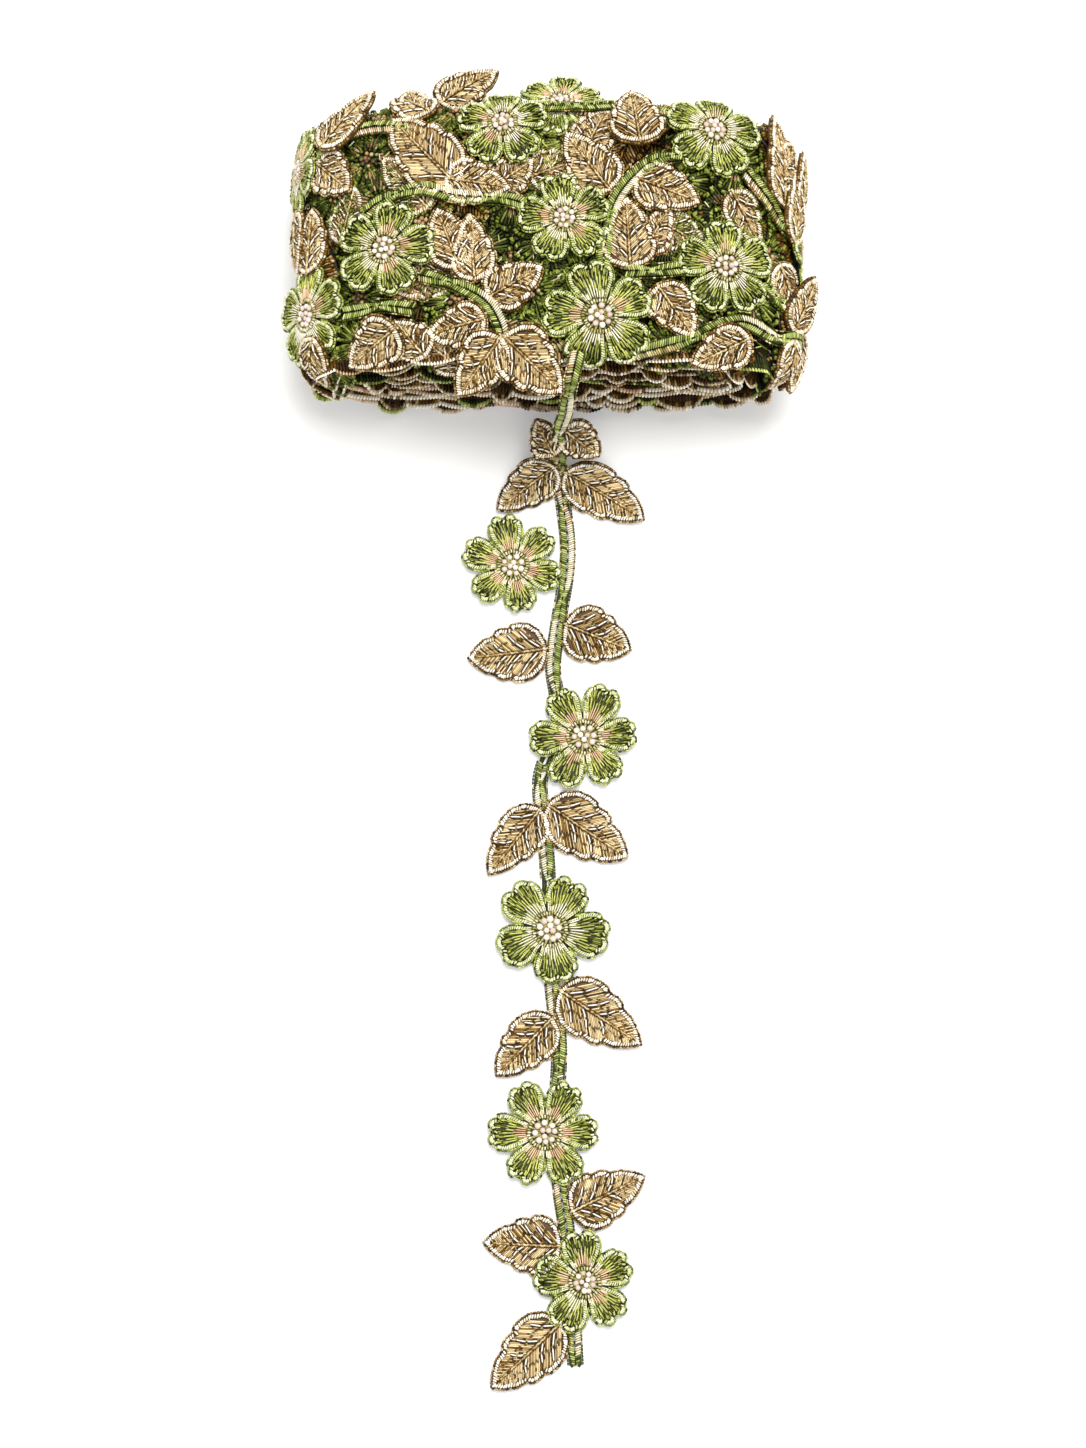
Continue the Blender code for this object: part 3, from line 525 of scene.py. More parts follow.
def add_flower(work, flower, fine=1.0, ground_work=None, fullness=3.8):
    """A whole flower. fine under 1 takes fewer, thicker stitches, for the turns that hardly show."""
    radius, petals = flower["radius"] * MM, flower["petals"]
    plain = fine < PLAIN_UNDER
    half = math.pi / petals
    fill = FILL_THICK / fine
    notches = rng.uniform(0.055, 0.105, petals)
    lobes = rng.uniform(0.025, 0.06, petals)
    lengths = rng.uniform(0.94, 1.03, petals)
    disc = PLAIN_DISC if plain else FINE_DISC
    nearest = np.round(disc.angle / (2 * half)).astype(int)
    across = (disc.angle - nearest * 2 * half) / half
    petal = nearest % petals
    across = np.clip(across * 1.02, -1, 1)
    reach = petal_reach(across, notches[petal], lobes[petal], fullness) * lengths[petal]
    reach = (reach * radius - 0.25 * MM) * disc.share
    # the ground plate's dark green is partly painted shade between the stitches
    lay_ground(ground_work or work, flower, disc, 0.0, reach, "dark green", 0.3)
    lay = motif_stitcher(work, flower)
    for number in range(petals):
        middle = 2 * half * number
        notch, lobe, length = notches[number], lobes[number], lengths[number] * radius
        brightness = rng.uniform(-0.12, 0.14)

        def at(spots, shares, height):
            """Places on the petal: spots run from -1 to 1 across it, shares are distances from the middle."""
            angle = middle + spots * half * PETAL_FILLS
            return xyz(shares * np.cos(angle), shares * np.sin(angle), height)

        def tip_at(spots):
            """How far out the petal ends at the spots."""
            return petal_reach(spots, notch, lobe, fullness) * length

        # radial satin in rows of short stitches, lit and shaded by turns
        lines = max(int(2 * half * radius * 0.78 / FILL_PITCH * fine), 6)
        spot = np.linspace(-0.86, 0.86, lines) + rng.uniform(-0.02, 0.02, lines)
        tip = tip_at(spot) - EDGE_WIDE * rng.uniform(0.8, 1.1, lines)
        by_turns = alternate(lines, 0.17, -0.15)
        for row, (low, high) in enumerate(PLAIN_ROWS if plain else FINE_ROWS):
            picked = slice(row % 2, None, 1 if row == 0 or plain else 2)
            spots, tips = spot[picked] + 0.03 * row, tip[picked]
            foot = np.minimum(length * (low + rng.uniform(-0.06, 0.06, len(tips))), tips - 0.8 * MM)
            top = tips
            if high != 1:
                top = np.minimum(length * (high + rng.uniform(-0.06, 0.06, len(tips))), tips)
            tone = 0.56 + 0.05 * row + brightness + by_turns[picked] + 0.16 * rng.standard_normal(len(tips))
            lay(at(spots, foot, (0.98 - 0.06 * row) * MM), at(spots, top, (0.86 + 0.05 * row) * MM), fill,
                0.3 * MM, "petal green", tone)
        # dark eyes of the net inside the edge, and the slot beside the petal
        eyes = EYE_SPOTS + rng.uniform(-0.08, 0.08, 5)
        end = tip_at(eyes) - EDGE_WIDE * 0.9
        if not plain:
            foot = end - rng.uniform(0.7, 1.5, 5) * MM
            lay(at(eyes, foot, 1.24 * MM), at(eyes, end, 1.2 * MM), 0.25 * MM, 0.16 * MM, "dark green",
                rng.uniform(0.1, 0.6, 5))
        slot = np.array([1.0])
        lay(at(slot, 0.33 * length, 1.05 * MM), at(slot, 0.48 * length, 1.05 * MM), 0.3 * MM, 0.1 * MM,
            "dark green", 0.25)
        # the fan at the foot
        fan = "peach" if rng.random() < flower.get("peach", PEACH_CHANCE) else "ivory"
        if not plain:
            spot = np.linspace(-0.8, 0.8, 5)
            lay(at(spot, 0.27 * length, 0.9 * MM), at(spot, 0.5 * length, 0.8 * MM), 0.5 * MM, 0.0,
                "petal green", rng.uniform(0.3, 0.5, 5))
        count = 4 if plain else 7
        spot = np.linspace(-0.56, 0.56, count)
        reach = 0.62 - 0.28 * np.abs(spot) + rng.uniform(-0.08, 0.08, count)
        lay(at(spot, 0.30 * length, 1.2 * MM), at(spot * 0.88, length * reach, 1.28 * MM), 0.17 * MM / fine,
            0.3 * MM, fan, rng.uniform(0.5, 1.0, count))
        if not plain:
            tips = length * rng.uniform(0.40, 0.56, 6)
            lay(at(BESIDE_FAN, 0.31 * length, 1.15 * MM), at(BESIDE_FAN * 0.97, tips, 1.24 * MM), 0.17 * MM,
                0.28 * MM, "ivory", rng.uniform(0.2, 0.9, 6))
            # single threads that catch the light or lie in shade
            for paint, light, count in (("dark green", 0.9, 5), ("pale green edge", 0.4, 6)):
                spot = rng.uniform(-0.8, 0.8, count)
                begin = length * rng.uniform(0.5, 0.78, count)
                stop = np.minimum(begin + rng.uniform(1.0, 2.2, count) * MM, tip_at(spot) - EDGE_WIDE)
                lay(at(spot, begin, 1.32 * MM), at(spot, np.maximum(stop, begin + 0.4 * MM), 1.3 * MM),
                    0.11 * MM, 0.1 * MM, paint, light)
        # the edge, which starts and ends at the petal's foot
        dense = np.concatenate(([-1.0], np.linspace(-1, 1, 121), [1.0]))
        far = tip_at(dense)
        far[[0, -1]] = 0.38 * length
        outline = at(dense, far, 0.0)[:, :2]
        places, forward, side = even_path(outline, PITCH / fine)
        lean = forward * 0.28 * MM
        share = np.hypot(*places.T) / length
        light = np.clip(rng.normal(0.64, 0.2, len(places)) - 0.6 * np.clip(0.75 - share, 0, 1), 0, 1)
        lay(raised(places + side * 0.2 * MM - lean, 1.05 * MM),
            raised(places + side * EDGE_WIDE + lean, 1.12 * MM), 0.27 * MM / fine, 0.42 * MM,
            "pale green edge", light)
        if not plain:
            places, forward, side = even_path(outline, CORD_PITCH)
            lay(raised(places - forward * 0.5 * MM - side * 0.02 * MM, 0.8 * MM),
                raised(places + forward * 0.5 * MM - side * 0.06 * MM, 0.8 * MM), 0.25 * MM, 0.16 * MM,
                "edge green", uneven_tones(0.45, 0.32, len(places)))
    # the ring, the pale ground inside it and the knots
    ring = RING_SHARE * radius
    count = max(int(2 * math.pi * ring / (0.66 * MM) * fine), 12)
    angle = np.linspace(0, 2 * math.pi, count, endpoint=False)
    circle = np.stack((np.cos(angle), np.sin(angle)), 1)
    uneven = rng.uniform(-0.22, 0.22, (count, 1)) * MM
    lay(raised(circle * (ring - 0.5 * MM + uneven), 1.3 * MM),
        raised(circle * (ring + 0.55 * MM + uneven), 1.25 * MM), 0.31 * MM / fine, 0.3 * MM, "ring straw",
        rng.uniform(0.25, 0.95, count))
    spokes = circle[::2]
    lay(raised(spokes * 0.5 * MM, 0.85 * MM), raised(spokes * (ring + 0.2 * MM), 0.95 * MM),
        0.46 * MM / fine, 0.0, "ring straw", rng.uniform(0.1, 0.4, len(spokes)))
    knots = 6 if plain else 8 if petals == 6 else 9
    angle = np.linspace(0, 2 * math.pi, knots, endpoint=False) + rng.uniform(0, 1)
    scale = radius / KNOTS_FIT_RADIUS
    outer = xyz(KNOT_RING * scale * np.cos(angle), KNOT_RING * scale * np.sin(angle), 1.4 * MM)
    outer += rng.normal(0, 0.12 * MM, (knots, 3))
    angle = np.array((0.4, 2.5, 4.6))
    inner = xyz(INNER_RING * np.cos(angle), INNER_RING * np.sin(angle), 1.65) * MM * (scale, scale, 1)
    inner += rng.normal(0, 0.1 * MM, (3, 3))
    sizes = np.concatenate((rng.uniform(0.68, 0.82, knots), rng.uniform(0.66, 0.76, 3))) * MM * scale
    work.knots(place_motif(flower, np.concatenate((outer, inner))), sizes, "rose white knot",
               rng.uniform(0.5, 0.95, knots + 3))


# %% [markdown]
# ## A leaf
# A leaf is gold satin slanted up from a twisted midrib, crossed by a few long white veins with a dark gap
# beside each. Its rim is a cream cord, and outside that a thin gold-brown one. The sides step in at a
# notch, as on a rose leaf. On the roll the rims look broader and duller than on the loose end, and the fill
# paler.

# %% The leaf
LEAF_SHAPE = np.array((
    (0.0, 0.0), (0.02, 0.30), (0.08, 0.66), (0.2, 0.93), (0.32, 1.0), (0.42, 0.98), (0.455, 0.86),
    (0.56, 0.88), (0.63, 0.80), (0.66, 0.66), (0.78, 0.58), (0.9, 0.34), (0.97, 0.13), (1.0, 0.0)))
LEAF_LOOKS = {
    "crisp": dict(rim="leaf cream", rim_wide=1.42, by_turns=0.14, spread=0.2, light=0.07, shade_lines=10,
                  veins=(0.10, 0.29, 0.50), gap=0.85, inner_line=False),
    "soft": dict(rim="leaf beige", rim_wide=1.62, by_turns=0.12, spread=0.17, light=0.1, shade_lines=18,
                 veins=(0.14, 0.42), gap=0.8, inner_line=True)}
SLANT = math.radians(46)


def add_leaf(work, leaf, fine=1.0, ground_work=None, look="crisp"):
    """A whole leaf, drawn from its foot at the local origin towards +X."""
    look = LEAF_LOOKS[look]
    rim = look["rim"]
    long, half_wide = leaf["length"] * MM, leaf["width"] / 2 * MM
    plain = fine < PLAIN_UNDER
    stretch = rng.uniform(-0.05, 0.05, 2)
    fill = FILL_THICK / fine
    lay = motif_stitcher(work, leaf, long / 2)

    def half_width(along, side):
        """The leaf's half-width at a share of its length."""
        moved = np.clip(along + stretch[0 if side > 0 else 1] * np.sin(math.pi * along), 0, 1)
        return np.interp(moved, LEAF_SHAPE[:, 0], LEAF_SHAPE[:, 1]) * half_wide

    share = np.linspace(0, 1, 60)
    upper = np.stack((share * long, half_width(share, 1)), 1)
    lower = np.stack((share * long, -half_width(share, -1)), 1)[::-1]
    outline = np.concatenate((upper, lower[1:]))
    # ground
    disc = PLAIN_DISC if plain else FINE_DISC
    middle_x = 0.42 * long
    x, y = (outline - (middle_x, 0.0)).T
    reach = np.interp(disc.angle, np.arctan2(y, x), np.hypot(x, y), period=2 * math.pi) * disc.share
    # the ground plate's dark brown is partly painted shade between the stitches
    lay_ground(ground_work or work, leaf, disc, middle_x - long / 2, reach, "leaf brown", 0.35)
    # slanted satin on both halves
    for side in (-1, 1):
        count = max(int(long * 0.86 / FILL_PITCH * fine), 6)
        foot = np.linspace(0.03, 0.90, count) * long
        direction = np.array((math.cos(SLANT), math.sin(SLANT) * side))
        travel = np.linspace(0, 1.6 * half_wide, 60)
        x = foot[:, None] + direction[0] * travel[None]
        y = np.abs(direction[1]) * travel[None]
        inside = y < half_width(np.clip(x / long, 0, 1), side) - (look["rim_wide"] - 0.2) * MM
        stop = travel[np.maximum(inside.cumprod(axis=1).sum(axis=1) - 1, 0)]
        kept = stop > 0.8 * MM
        foot, stop = foot[kept], stop[kept]
        start = np.stack((foot, np.full(len(foot), 0.2 * MM * side)), 1)
        end = start + direction[None] * stop[:, None]
        tone = uneven_tones(0.52 + look["light"], look["spread"], len(foot))
        # painted light and shade: neighbouring stitches are lit and shaded by turns
        tone += alternate(len(foot)) * look["by_turns"]
        if plain:
            lay(raised(start, 0.9 * MM), raised(end, 0.85 * MM), fill, 0.4 * MM, "leaf gold", tone)
        else:
            halfway = start + direction[None] * (stop * rng.uniform(0.35, 0.65, len(stop)))[:, None]
            lay(raised(start, 0.9 * MM), raised(halfway, 1.0 * MM), fill, 0.22 * MM, "leaf gold", tone)
            lay(raised(halfway - direction * 0.3 * MM, 0.95 * MM), raised(end, 0.85 * MM), fill, 0.28 * MM,
                "leaf gold", np.clip(tone + rng.normal(0, 0.2, len(foot)), 0, 1))
            # single threads that lie in shade or catch the light
            for paint, light, count in (("leaf brown", 0.4, look["shade_lines"]), ("leaf cream", 0.35, 7)):
                picked = rng.integers(0, len(foot), count)
                shift = (stop[picked] * rng.uniform(0.05, 0.75, count))[:, None]
                begin = start[picked] + direction * shift
                lay(raised(begin, 1.3 * MM), raised(begin + direction * 1.1 * MM, 1.28 * MM), 0.12 * MM,
                    0.12 * MM, paint, light)
        # veins, each with a dark gap beside it
        veins = LEAF_LOOKS["soft"]["veins"] if plain else look["veins"]
        for vein in np.array(veins) + rng.uniform(-0.03, 0.03, len(veins)):
            number = int(np.argmin(np.abs(foot - vein * long)))
            begin = start[number] + direction * 0.4 * MM
            tip = start[number] + direction * stop[number] * rng.uniform(0.74, 0.96)
            aside = np.array((direction[1], -direction[0])) * side
            bend = (begin + tip) / 2 + aside * 0.35 * MM
            lines = ((0.0, rim, 0.24, 1.36, 0.9), (0.48, "leaf brown", 0.27 * look["gap"], 1.28, 0.2),
                     (-0.46, "leaf brown", 0.22 * look["gap"], 1.22, 0.3))
            for offset, paint, thick, height, light in lines[:2] if plain else lines:
                move = aside * offset * MM
                course = np.array([begin + move, bend + move * 0.9, tip + move * 0.5])
                lay(raised(course[:2], height * MM), raised(course[1:], height * MM), thick * MM, 0.1 * MM,
                    paint, light)
    # rim
    places, forward, side = even_path(outline[::-1], PITCH / fine)
    lean = forward * 0.24 * MM
    reach = (look["rim_wide"] + rng.uniform(-0.22, 0.22, len(places)))[:, None] * MM
    lay(raised(places + side * 0.36 * MM - lean, 1.05 * MM), raised(places + side * reach + lean, 1.1 * MM),
        0.275 * MM / fine, 0.36 * MM, rim, uneven_tones(0.72, 0.26, len(places)))
    if not plain and look["inner_line"]:
        places, forward, side = even_path(outline[::-1], 1.1 * MM)
        inset = places + side * (look["rim_wide"] + 0.12) * MM
        lay(raised(inset - forward * 0.45 * MM, 1.12 * MM), raised(inset + forward * 0.45 * MM, 1.12 * MM),
            0.15 * MM, 0.12 * MM, "leaf brown", rng.uniform(0.2, 0.6, len(places)))
    if not plain:
        places, forward, side = even_path(outline[::-1], CORD_PITCH)
        lay(raised(places + side * 0.06 * MM - forward * 0.42 * MM, 0.8 * MM),
            raised(places + side * 0.12 * MM + forward * 0.42 * MM, 0.8 * MM), 0.28 * MM, 0.22 * MM,
            "leaf gold", uneven_tones(0.3, 0.26, len(places)))
    # midrib
    rib = np.arange(0.0, 0.86 * long, 0.66 * MM / fine)
    lean = alternate(len(rib)) * 0.16 * MM
    lay(xyz(rib, -lean, 1.3 * MM), xyz(rib + 1.0 * MM / fine, lean, 1.3 * MM), 0.3 * MM, 0.25 * MM,
        "leaf gold", uneven_tones(0.5, 0.2, len(rib)))


# %% [markdown]
# ## A stem
# Two satin cords lie side by side and change sides now and then: one green, one partly ivory. A dark thread
# runs along each outer edge, which is why the stem looks drawn round.

# %% The stem
STEM_HALF = 1.75 * MM
TURN_LENGTH, IVORY_WAVE, ROSY_WAVE = 7.5 * MM, 6.0 * MM, 9.0 * MM


def smooth_route(points, step=0.5 * MM):
    """Close places along a soft curve through the points."""
    points = np.array(points) * MM
    padded = np.concatenate((points[:1] * 2 - points[1:2], points, points[-1:] * 2 - points[-2:-1]))
    places = []
    for i in range(1, len(padded) - 2):
        before, start, end, after = padded[i - 1:i + 3]
        count = max(int(np.hypot(*(end - start)) / step), 2)
        t = np.linspace(0, 1, count, endpoint=False)[:, None]
        bend, twist = 2 * before - 5 * start + 4 * end - after, 3 * start - before - 3 * end + after
        places.append(0.5 * (2 * start + (end - before) * t + bend * t ** 2 + twist * t ** 3))
    places.append(points[-1:])
    return np.concatenate(places)


def clear_of(places, motifs, share=0.86):
    """Which places lie outside every one of the round motifs, so that a stem stops under a flower."""
    shown = np.ones(len(places), dtype=bool)
    for x, y, radius, *_ in motifs:
        shown &= np.hypot(places[:, 0] - x * MM, places[:, 1] - y * MM) > share * radius * MM
    return shown


def add_stem(work, points, half=STEM_HALF, flowers=(), ground_work=None, paler=-0.75):
    """A stem of two satin cords along a route, left out under the flowers."""
    route = smooth_route(points)
    pitch = 0.56 * MM
    places, forward, side = even_path(route, pitch)
    distance = np.arange(len(places)) * pitch
    shown = clear_of(places, flowers)
    phase = rng.uniform(0, 6)
    twist = np.sin(distance / TURN_LENGTH + phase)
    for sign in (1, -1):
        # over paler, the second cord's slow wave is ivory; the higher it is, the greener the stem
        middle = places + side * (sign * (np.tanh(2.5 * twist) * 0.5 * half))[:, None]
        number = np.full(len(places), paint_number["stem green"])
        if sign < 0:
            number[np.sin(distance / IVORY_WAVE + phase * 2) > paler] = paint_number["ivory"]
            rosy = (np.sin(distance / ROSY_WAVE + phase) > 0.7) & (alternate(len(places)) > 0)
            number[rosy] = paint_number["rose tan"]
        reach = side * half * 0.5 + forward * 0.34 * MM * sign
        height = 0.95 * MM + 0.2 * MM * (sign * twist > 0) - 0.3 * MM
        tone = uneven_tones(0.6, 0.27, len(places))
        work.stitches(raised(middle - reach, height)[shown], raised(middle + reach, height)[shown], 0.26 * MM,
                      0.55 * MM, number[shown], tone[shown])
    # the thin cord along each side, and the dark eyes between the two
    places, forward, side = even_path(route, 0.8 * MM)
    shown = clear_of(places, flowers)
    for sign in (-1, 1):
        edge = places + side * sign * half
        dark = rng.random(len(places)) < 0.75
        paint = np.where(dark, paint_number["dark green"], paint_number["leaf gold"])
        tone = rng.uniform(0.3, 1.0, len(places))
        work.stitches(raised(edge - forward * 0.42 * MM, 0.7 * MM)[shown],
                      raised(edge + forward * 0.42 * MM, 0.7 * MM)[shown], 0.23 * MM, 0.16 * MM, paint[shown],
                      tone[shown])
    eyes = shown & (np.arange(len(places)) % 3 == 0)
    work.stitches(raised(places - forward * 0.55 * MM, 1.42 * MM)[eyes],
                  raised(places + forward * 0.55 * MM, 1.42 * MM)[eyes], 0.2 * MM, 0.1 * MM,
                  "dark green", 0.2)
    # the ground under both cords, dark green, partly painted shade between the stitches
    ground, forward, side = even_path(route, 2.0 * MM)
    for sign in (-0.5, 0.5):
        middle = ground + side * sign * half
        (ground_work or work).stitches(raised(middle - forward * 1.6 * MM, 0.35 * MM),
                                       raised(middle + forward * 1.6 * MM, 0.35 * MM),
                                       0.62 * MM, 0.0, "dark green", 0.4)


def add_bar(work, start, end, half, paint):
    """A short satin bar or stalk between two places."""
    ends = np.array((start, end))
    places, forward, side = even_path(ends, 0.5 * MM)
    reach = side * half + forward * 0.15 * MM
    work.stitches(raised(places - reach, 0.75 * MM), raised(places + reach, 0.75 * MM), 0.28 * MM, 0.45 * MM,
                  paint, uneven_tones(0.6, 0.2, len(places)))
    work.stitches(raised(ends[:1], 0.55 * MM), raised(ends[1:], 0.55 * MM), half, 0.0, "leaf brown", 0.6)


# %% [markdown]
# ## The loose end
# The motifs are listed from the roll down, as measured on the photograph: the middle, the size and the way
# each one points. Between them run the stem and short stalks to the leaves.

# %% The loose end's motifs, in millimetres and degrees
STRIP_STEM = (
    (6.8, 118.0), (5.8, 114.0), (5.2, 111.0), (4.4, 103.0), (3.8, 94.0), (2.4, 84.0), (2.3, 75.0),
    (3.4, 62.0), (4.6, 51.0), (4.2, 42.0), (2.2, 30.0), (1.0, 19.0), (2.2, 9.0), (0.6, 0.0), (-2.2, -9.0),
    (-1.2, -21.0), (-0.4, -31.0), (0.0, -46.0), (0.8, -60.0), (2.4, -75.0), (1.6, -92.0), (2.6, -108.0),
    (4.4, -120.0), (5.4, -134.0), (6.2, -149.8))
FLOWER_COLUMNS = ("x", "y", "radius", "petals", "turn", "peach")
STRIP_FLOWERS = (
    (-8.9, 44.8, 12.6, 6, 42, 1.0), (8.5, 1.6, 13.7, 6, 3, 1.0), (0.2, -45.9, 14.2, 5, 63, 0.1),
    (-1.0, -95.0, 13.5, 6, 0, 1.0), (8.5, -130.5, 12.2, 5, 25, 0.6))
LEAF_COLUMNS = ("x", "y", "turn", "length", "width", "down")
STRIP_LEAVES = (
    (-5.5, 65.1, 220, 19.3, 12.5), (13.6, 63.1, 326, 24.0, 14.0), (-10.1, 22.5, 187, 20.0, 15.0),
    (11.8, 26.7, 338, 18.0, 14.6), (-8.3, -24.3, 232, 21.0, 12.6), (9.2, -21.8, 326, 24.0, 15.4),
    (12.2, -67.3, 326, 24.0, 15.0), (-5.8, -74.3, 226, 20.0, 12.8), (13.8, -109.7, 26, 20.0, 13.8),
    (-6.3, -121.6, 177, 19.0, 14.6), (-5.3, -147.4, 223, 23.0, 14.6))
LEAF_CUP, FLOWER_CUP = 1.0, 1.6
LEAF_BEND = 9.0
LEAF_SIZES, FLOWER_SIZES = ("length", "width"), ("radius", "petals")
# a tilted motif: its place, the direction and angle of its lean, its turn and two sizes
SMALL_LEAVES = (((-0.8, 73.8, 10.0), 262, 34, 115, (11.0, 9.6)),
                ((7.9, 72.9, 10.0), 262, 34, -38, (12.0, 10.5)))


def tilted_plane(place, leans_to, lean):
    """A flat surface at a place in millimetres, whose upper side leans towards a direction."""
    toward, angle = math.radians(leans_to), math.radians(lean)
    turn = np.array(Matrix.Rotation(angle, 3, Vector((-math.sin(toward), math.cos(toward), 0))))
    middle = np.array(place) * MM

    def surface(places):
        # a leaf curls a little, so the plane bends back away from its middle
        bent = places.copy()
        bent[:, 2] -= LEAF_BEND * (places[:, 0] ** 2 + places[:, 1] ** 2)
        return middle + bent @ turn.T

    return surface


def stand(work, add_motif, row, size_names, **look):
    """Add a tilted motif from its row, on a plane of its own."""
    place, leans_to, lean, turn, sizes = row
    work.surface = tilted_plane(place, leans_to, lean)
    add_motif(work, dict(zip(size_names, sizes), x=0, y=0, turn=turn), **look)


def leaf_foot(leaf, along=0.0):
    """A place on a leaf's midrib, in millimetres, from its foot (0) to its tip (1)."""
    angle = math.radians(leaf["turn"])
    return (leaf["x"] + (along - 0.5) * leaf["length"] * math.cos(angle),
            leaf["y"] + (along - 0.5) * leaf["length"] * math.sin(angle))


def add_stalk(work, leaf, route):
    """The rose-tan stalk from a leaf's foot to the nearest place of the stem."""
    foot = np.array(leaf_foot(leaf, 0.06)) * MM
    behind = np.array(leaf_foot(leaf, -0.15)) * MM
    near = route[np.argmin(np.hypot(*(route - behind).T))]
    if np.hypot(*(near - foot)) > 1.2 * MM:
        add_bar(work, foot, near, 0.42 * MM, "rose tan")


# %% The loose end
strip_ground, strip_stem, strip_leaves, strip_flowers = (Needlework(on_strip) for _ in range(4))
stem_route = smooth_route(STRIP_STEM)
add_stem(strip_stem, STRIP_STEM, flowers=STRIP_FLOWERS, ground_work=strip_ground)
for row in STRIP_LEAVES:
    leaf = dict(zip(LEAF_COLUMNS, row), cup=LEAF_CUP)
    add_leaf(strip_leaves, leaf, ground_work=strip_ground)
    add_stalk(strip_leaves, leaf, stem_route)
for row in SMALL_LEAVES:
    stand(strip_leaves, add_leaf, row, LEAF_SIZES, look="soft")
for row in STRIP_FLOWERS:
    flower = dict(zip(FLOWER_COLUMNS, row), cup=FLOWER_CUP)
    add_flower(strip_flowers, flower, ground_work=strip_ground, fullness=2.9)
loose_ground = strip_ground.finish("loose_end_ground")
loose_stitches = [strip_stem.finish("loose_end_stem"), strip_leaves.finish("loose_end_leaves"),
                  strip_flowers.finish("loose_end_flowers")]
for piece in (loose_ground, *loose_stitches):
    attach(piece, "root")
    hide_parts("loose_end")

# %% [markdown]
# ## The roll's body
# Under the outer turns is the rest of the wound trim. Only scraps of it show, deep and dark, so it is one
# closed body, a little smaller than the roll, flecked in the thread's greens and browns, its darkness painted
# shade.

# %% The body of inner turns
BODY_DEPTH = 3.4 * MM
UNDERSIDE_RISE = 2.4 * MM
BODY_LOWEST = 0.3 * MM
BODY_SIDES = 96
BODY_STATIONS = np.concatenate((np.linspace(-34.0, -27.0, 4), np.linspace(-20, 16, 4),
                                np.linspace(20, 25.5, 4))) * MM
# painted shade: the flecks keep the thread's hues but are nearly black, for thread deep in the roll
SHADED_FLECK_COLOURS = (("#34360F", "#0B0D03"), ("#3E2C12", "#100903"))


def wound_thread_in_painted_shade():
    """Thread deep in the roll: dark green and brown flecks of stitch size, painted almost black as shade."""
    made, tree = new_material("deep wound thread in painted shade", {"Roughness": 0.8, "Specular IOR Level": 0.1})
    place = add_node(tree, "ShaderNodeTexCoord").outputs["Object"]
    stretch = add_node(tree, "ShaderNodeMapping", {"Scale": (1.0, 0.35, 1.0)}, {"Vector": place})
    flecks = add_node(tree, "ShaderNodeTexVoronoi", {"Scale": 1 / (1.4 * MM)},
                      {"Vector": stretch.outputs["Vector"]}).outputs["Distance"]
    patches = add_node(tree, "ShaderNodeTexNoise", {"Scale": 1 / (9 * MM)}, {"Vector": place})
    either = add_node(tree, "ShaderNodeMapRange", {"From Min": 0.45, "From Max": 0.55},
                      {"Value": patches.outputs["Fac"]})
    mixed = add_node(tree, "ShaderNodeMix", {"data_type": "RGBA"}, {"Factor": either.outputs["Result"]})
    for socket, colours in zip((6, 7), SHADED_FLECK_COLOURS):
        ramp = add_node(tree, "ShaderNodeValToRGB", links={"Fac": flecks})
        for stop, colour in zip(ramp.color_ramp.elements, colours):
            stop.color = linear(colour)
        tree.links.new(ramp.outputs["Color"], mixed.inputs[socket])
    finish_shader(tree, mixed.outputs[2], flecks, {"Strength": 0.8, "Distance": 0.6 * MM})
    return made


def object_from(shape, name, material):
    """An object made from a bmesh, with one material."""
    mesh = bpy.data.meshes.new(name)
    shape.to_mesh(mesh)
    shape.free()
    mesh.materials.append(material)
    return add_object(name, mesh)


body_shape = bmesh.new()
loops = [bmesh.ops.create_circle(body_shape, segments=BODY_SIDES, radius=1.0)["verts"]]
edges = body_shape.edges[:]
for _ in BODY_STATIONS[1:]:
    loop, edges = grow(body_shape, edges)
    loops.append(loop)
for loop, station in zip(loops, BODY_STATIONS):
    turned = np.array([math.atan2(v.co.x, v.co.y) for v in loop]) / (2 * math.pi) * OVAL_ROUND
    # the body comes closer to the surface underneath, so no light falls between it and the outer turn
    depth = np.array([BODY_DEPTH - UNDERSIDE_RISE * max(0.0, -v.co.y) for v in loop])
    for vertex, place in zip(loop, on_roll(xyz(turned, station, -depth))):
        vertex.co = place
        vertex.co.z = max(vertex.co.z, BODY_LOWEST)
for loop in (loops[0], loops[-1]):
    bmesh.ops.contextual_create(body_shape, geom=edges_among(body_shape.edges, loop))
bmesh.ops.recalc_face_normals(body_shape, faces=body_shape.faces)
roll_pieces = [object_from(body_shape, "roll_body", wound_thread_in_painted_shade())]

# %% [markdown]
# ## The roll's outer turn
# Its motifs follow the photograph: eight flowers on top and at the ends, many leaves, and stems that run
# askew, because the trim was wound criss-cross.

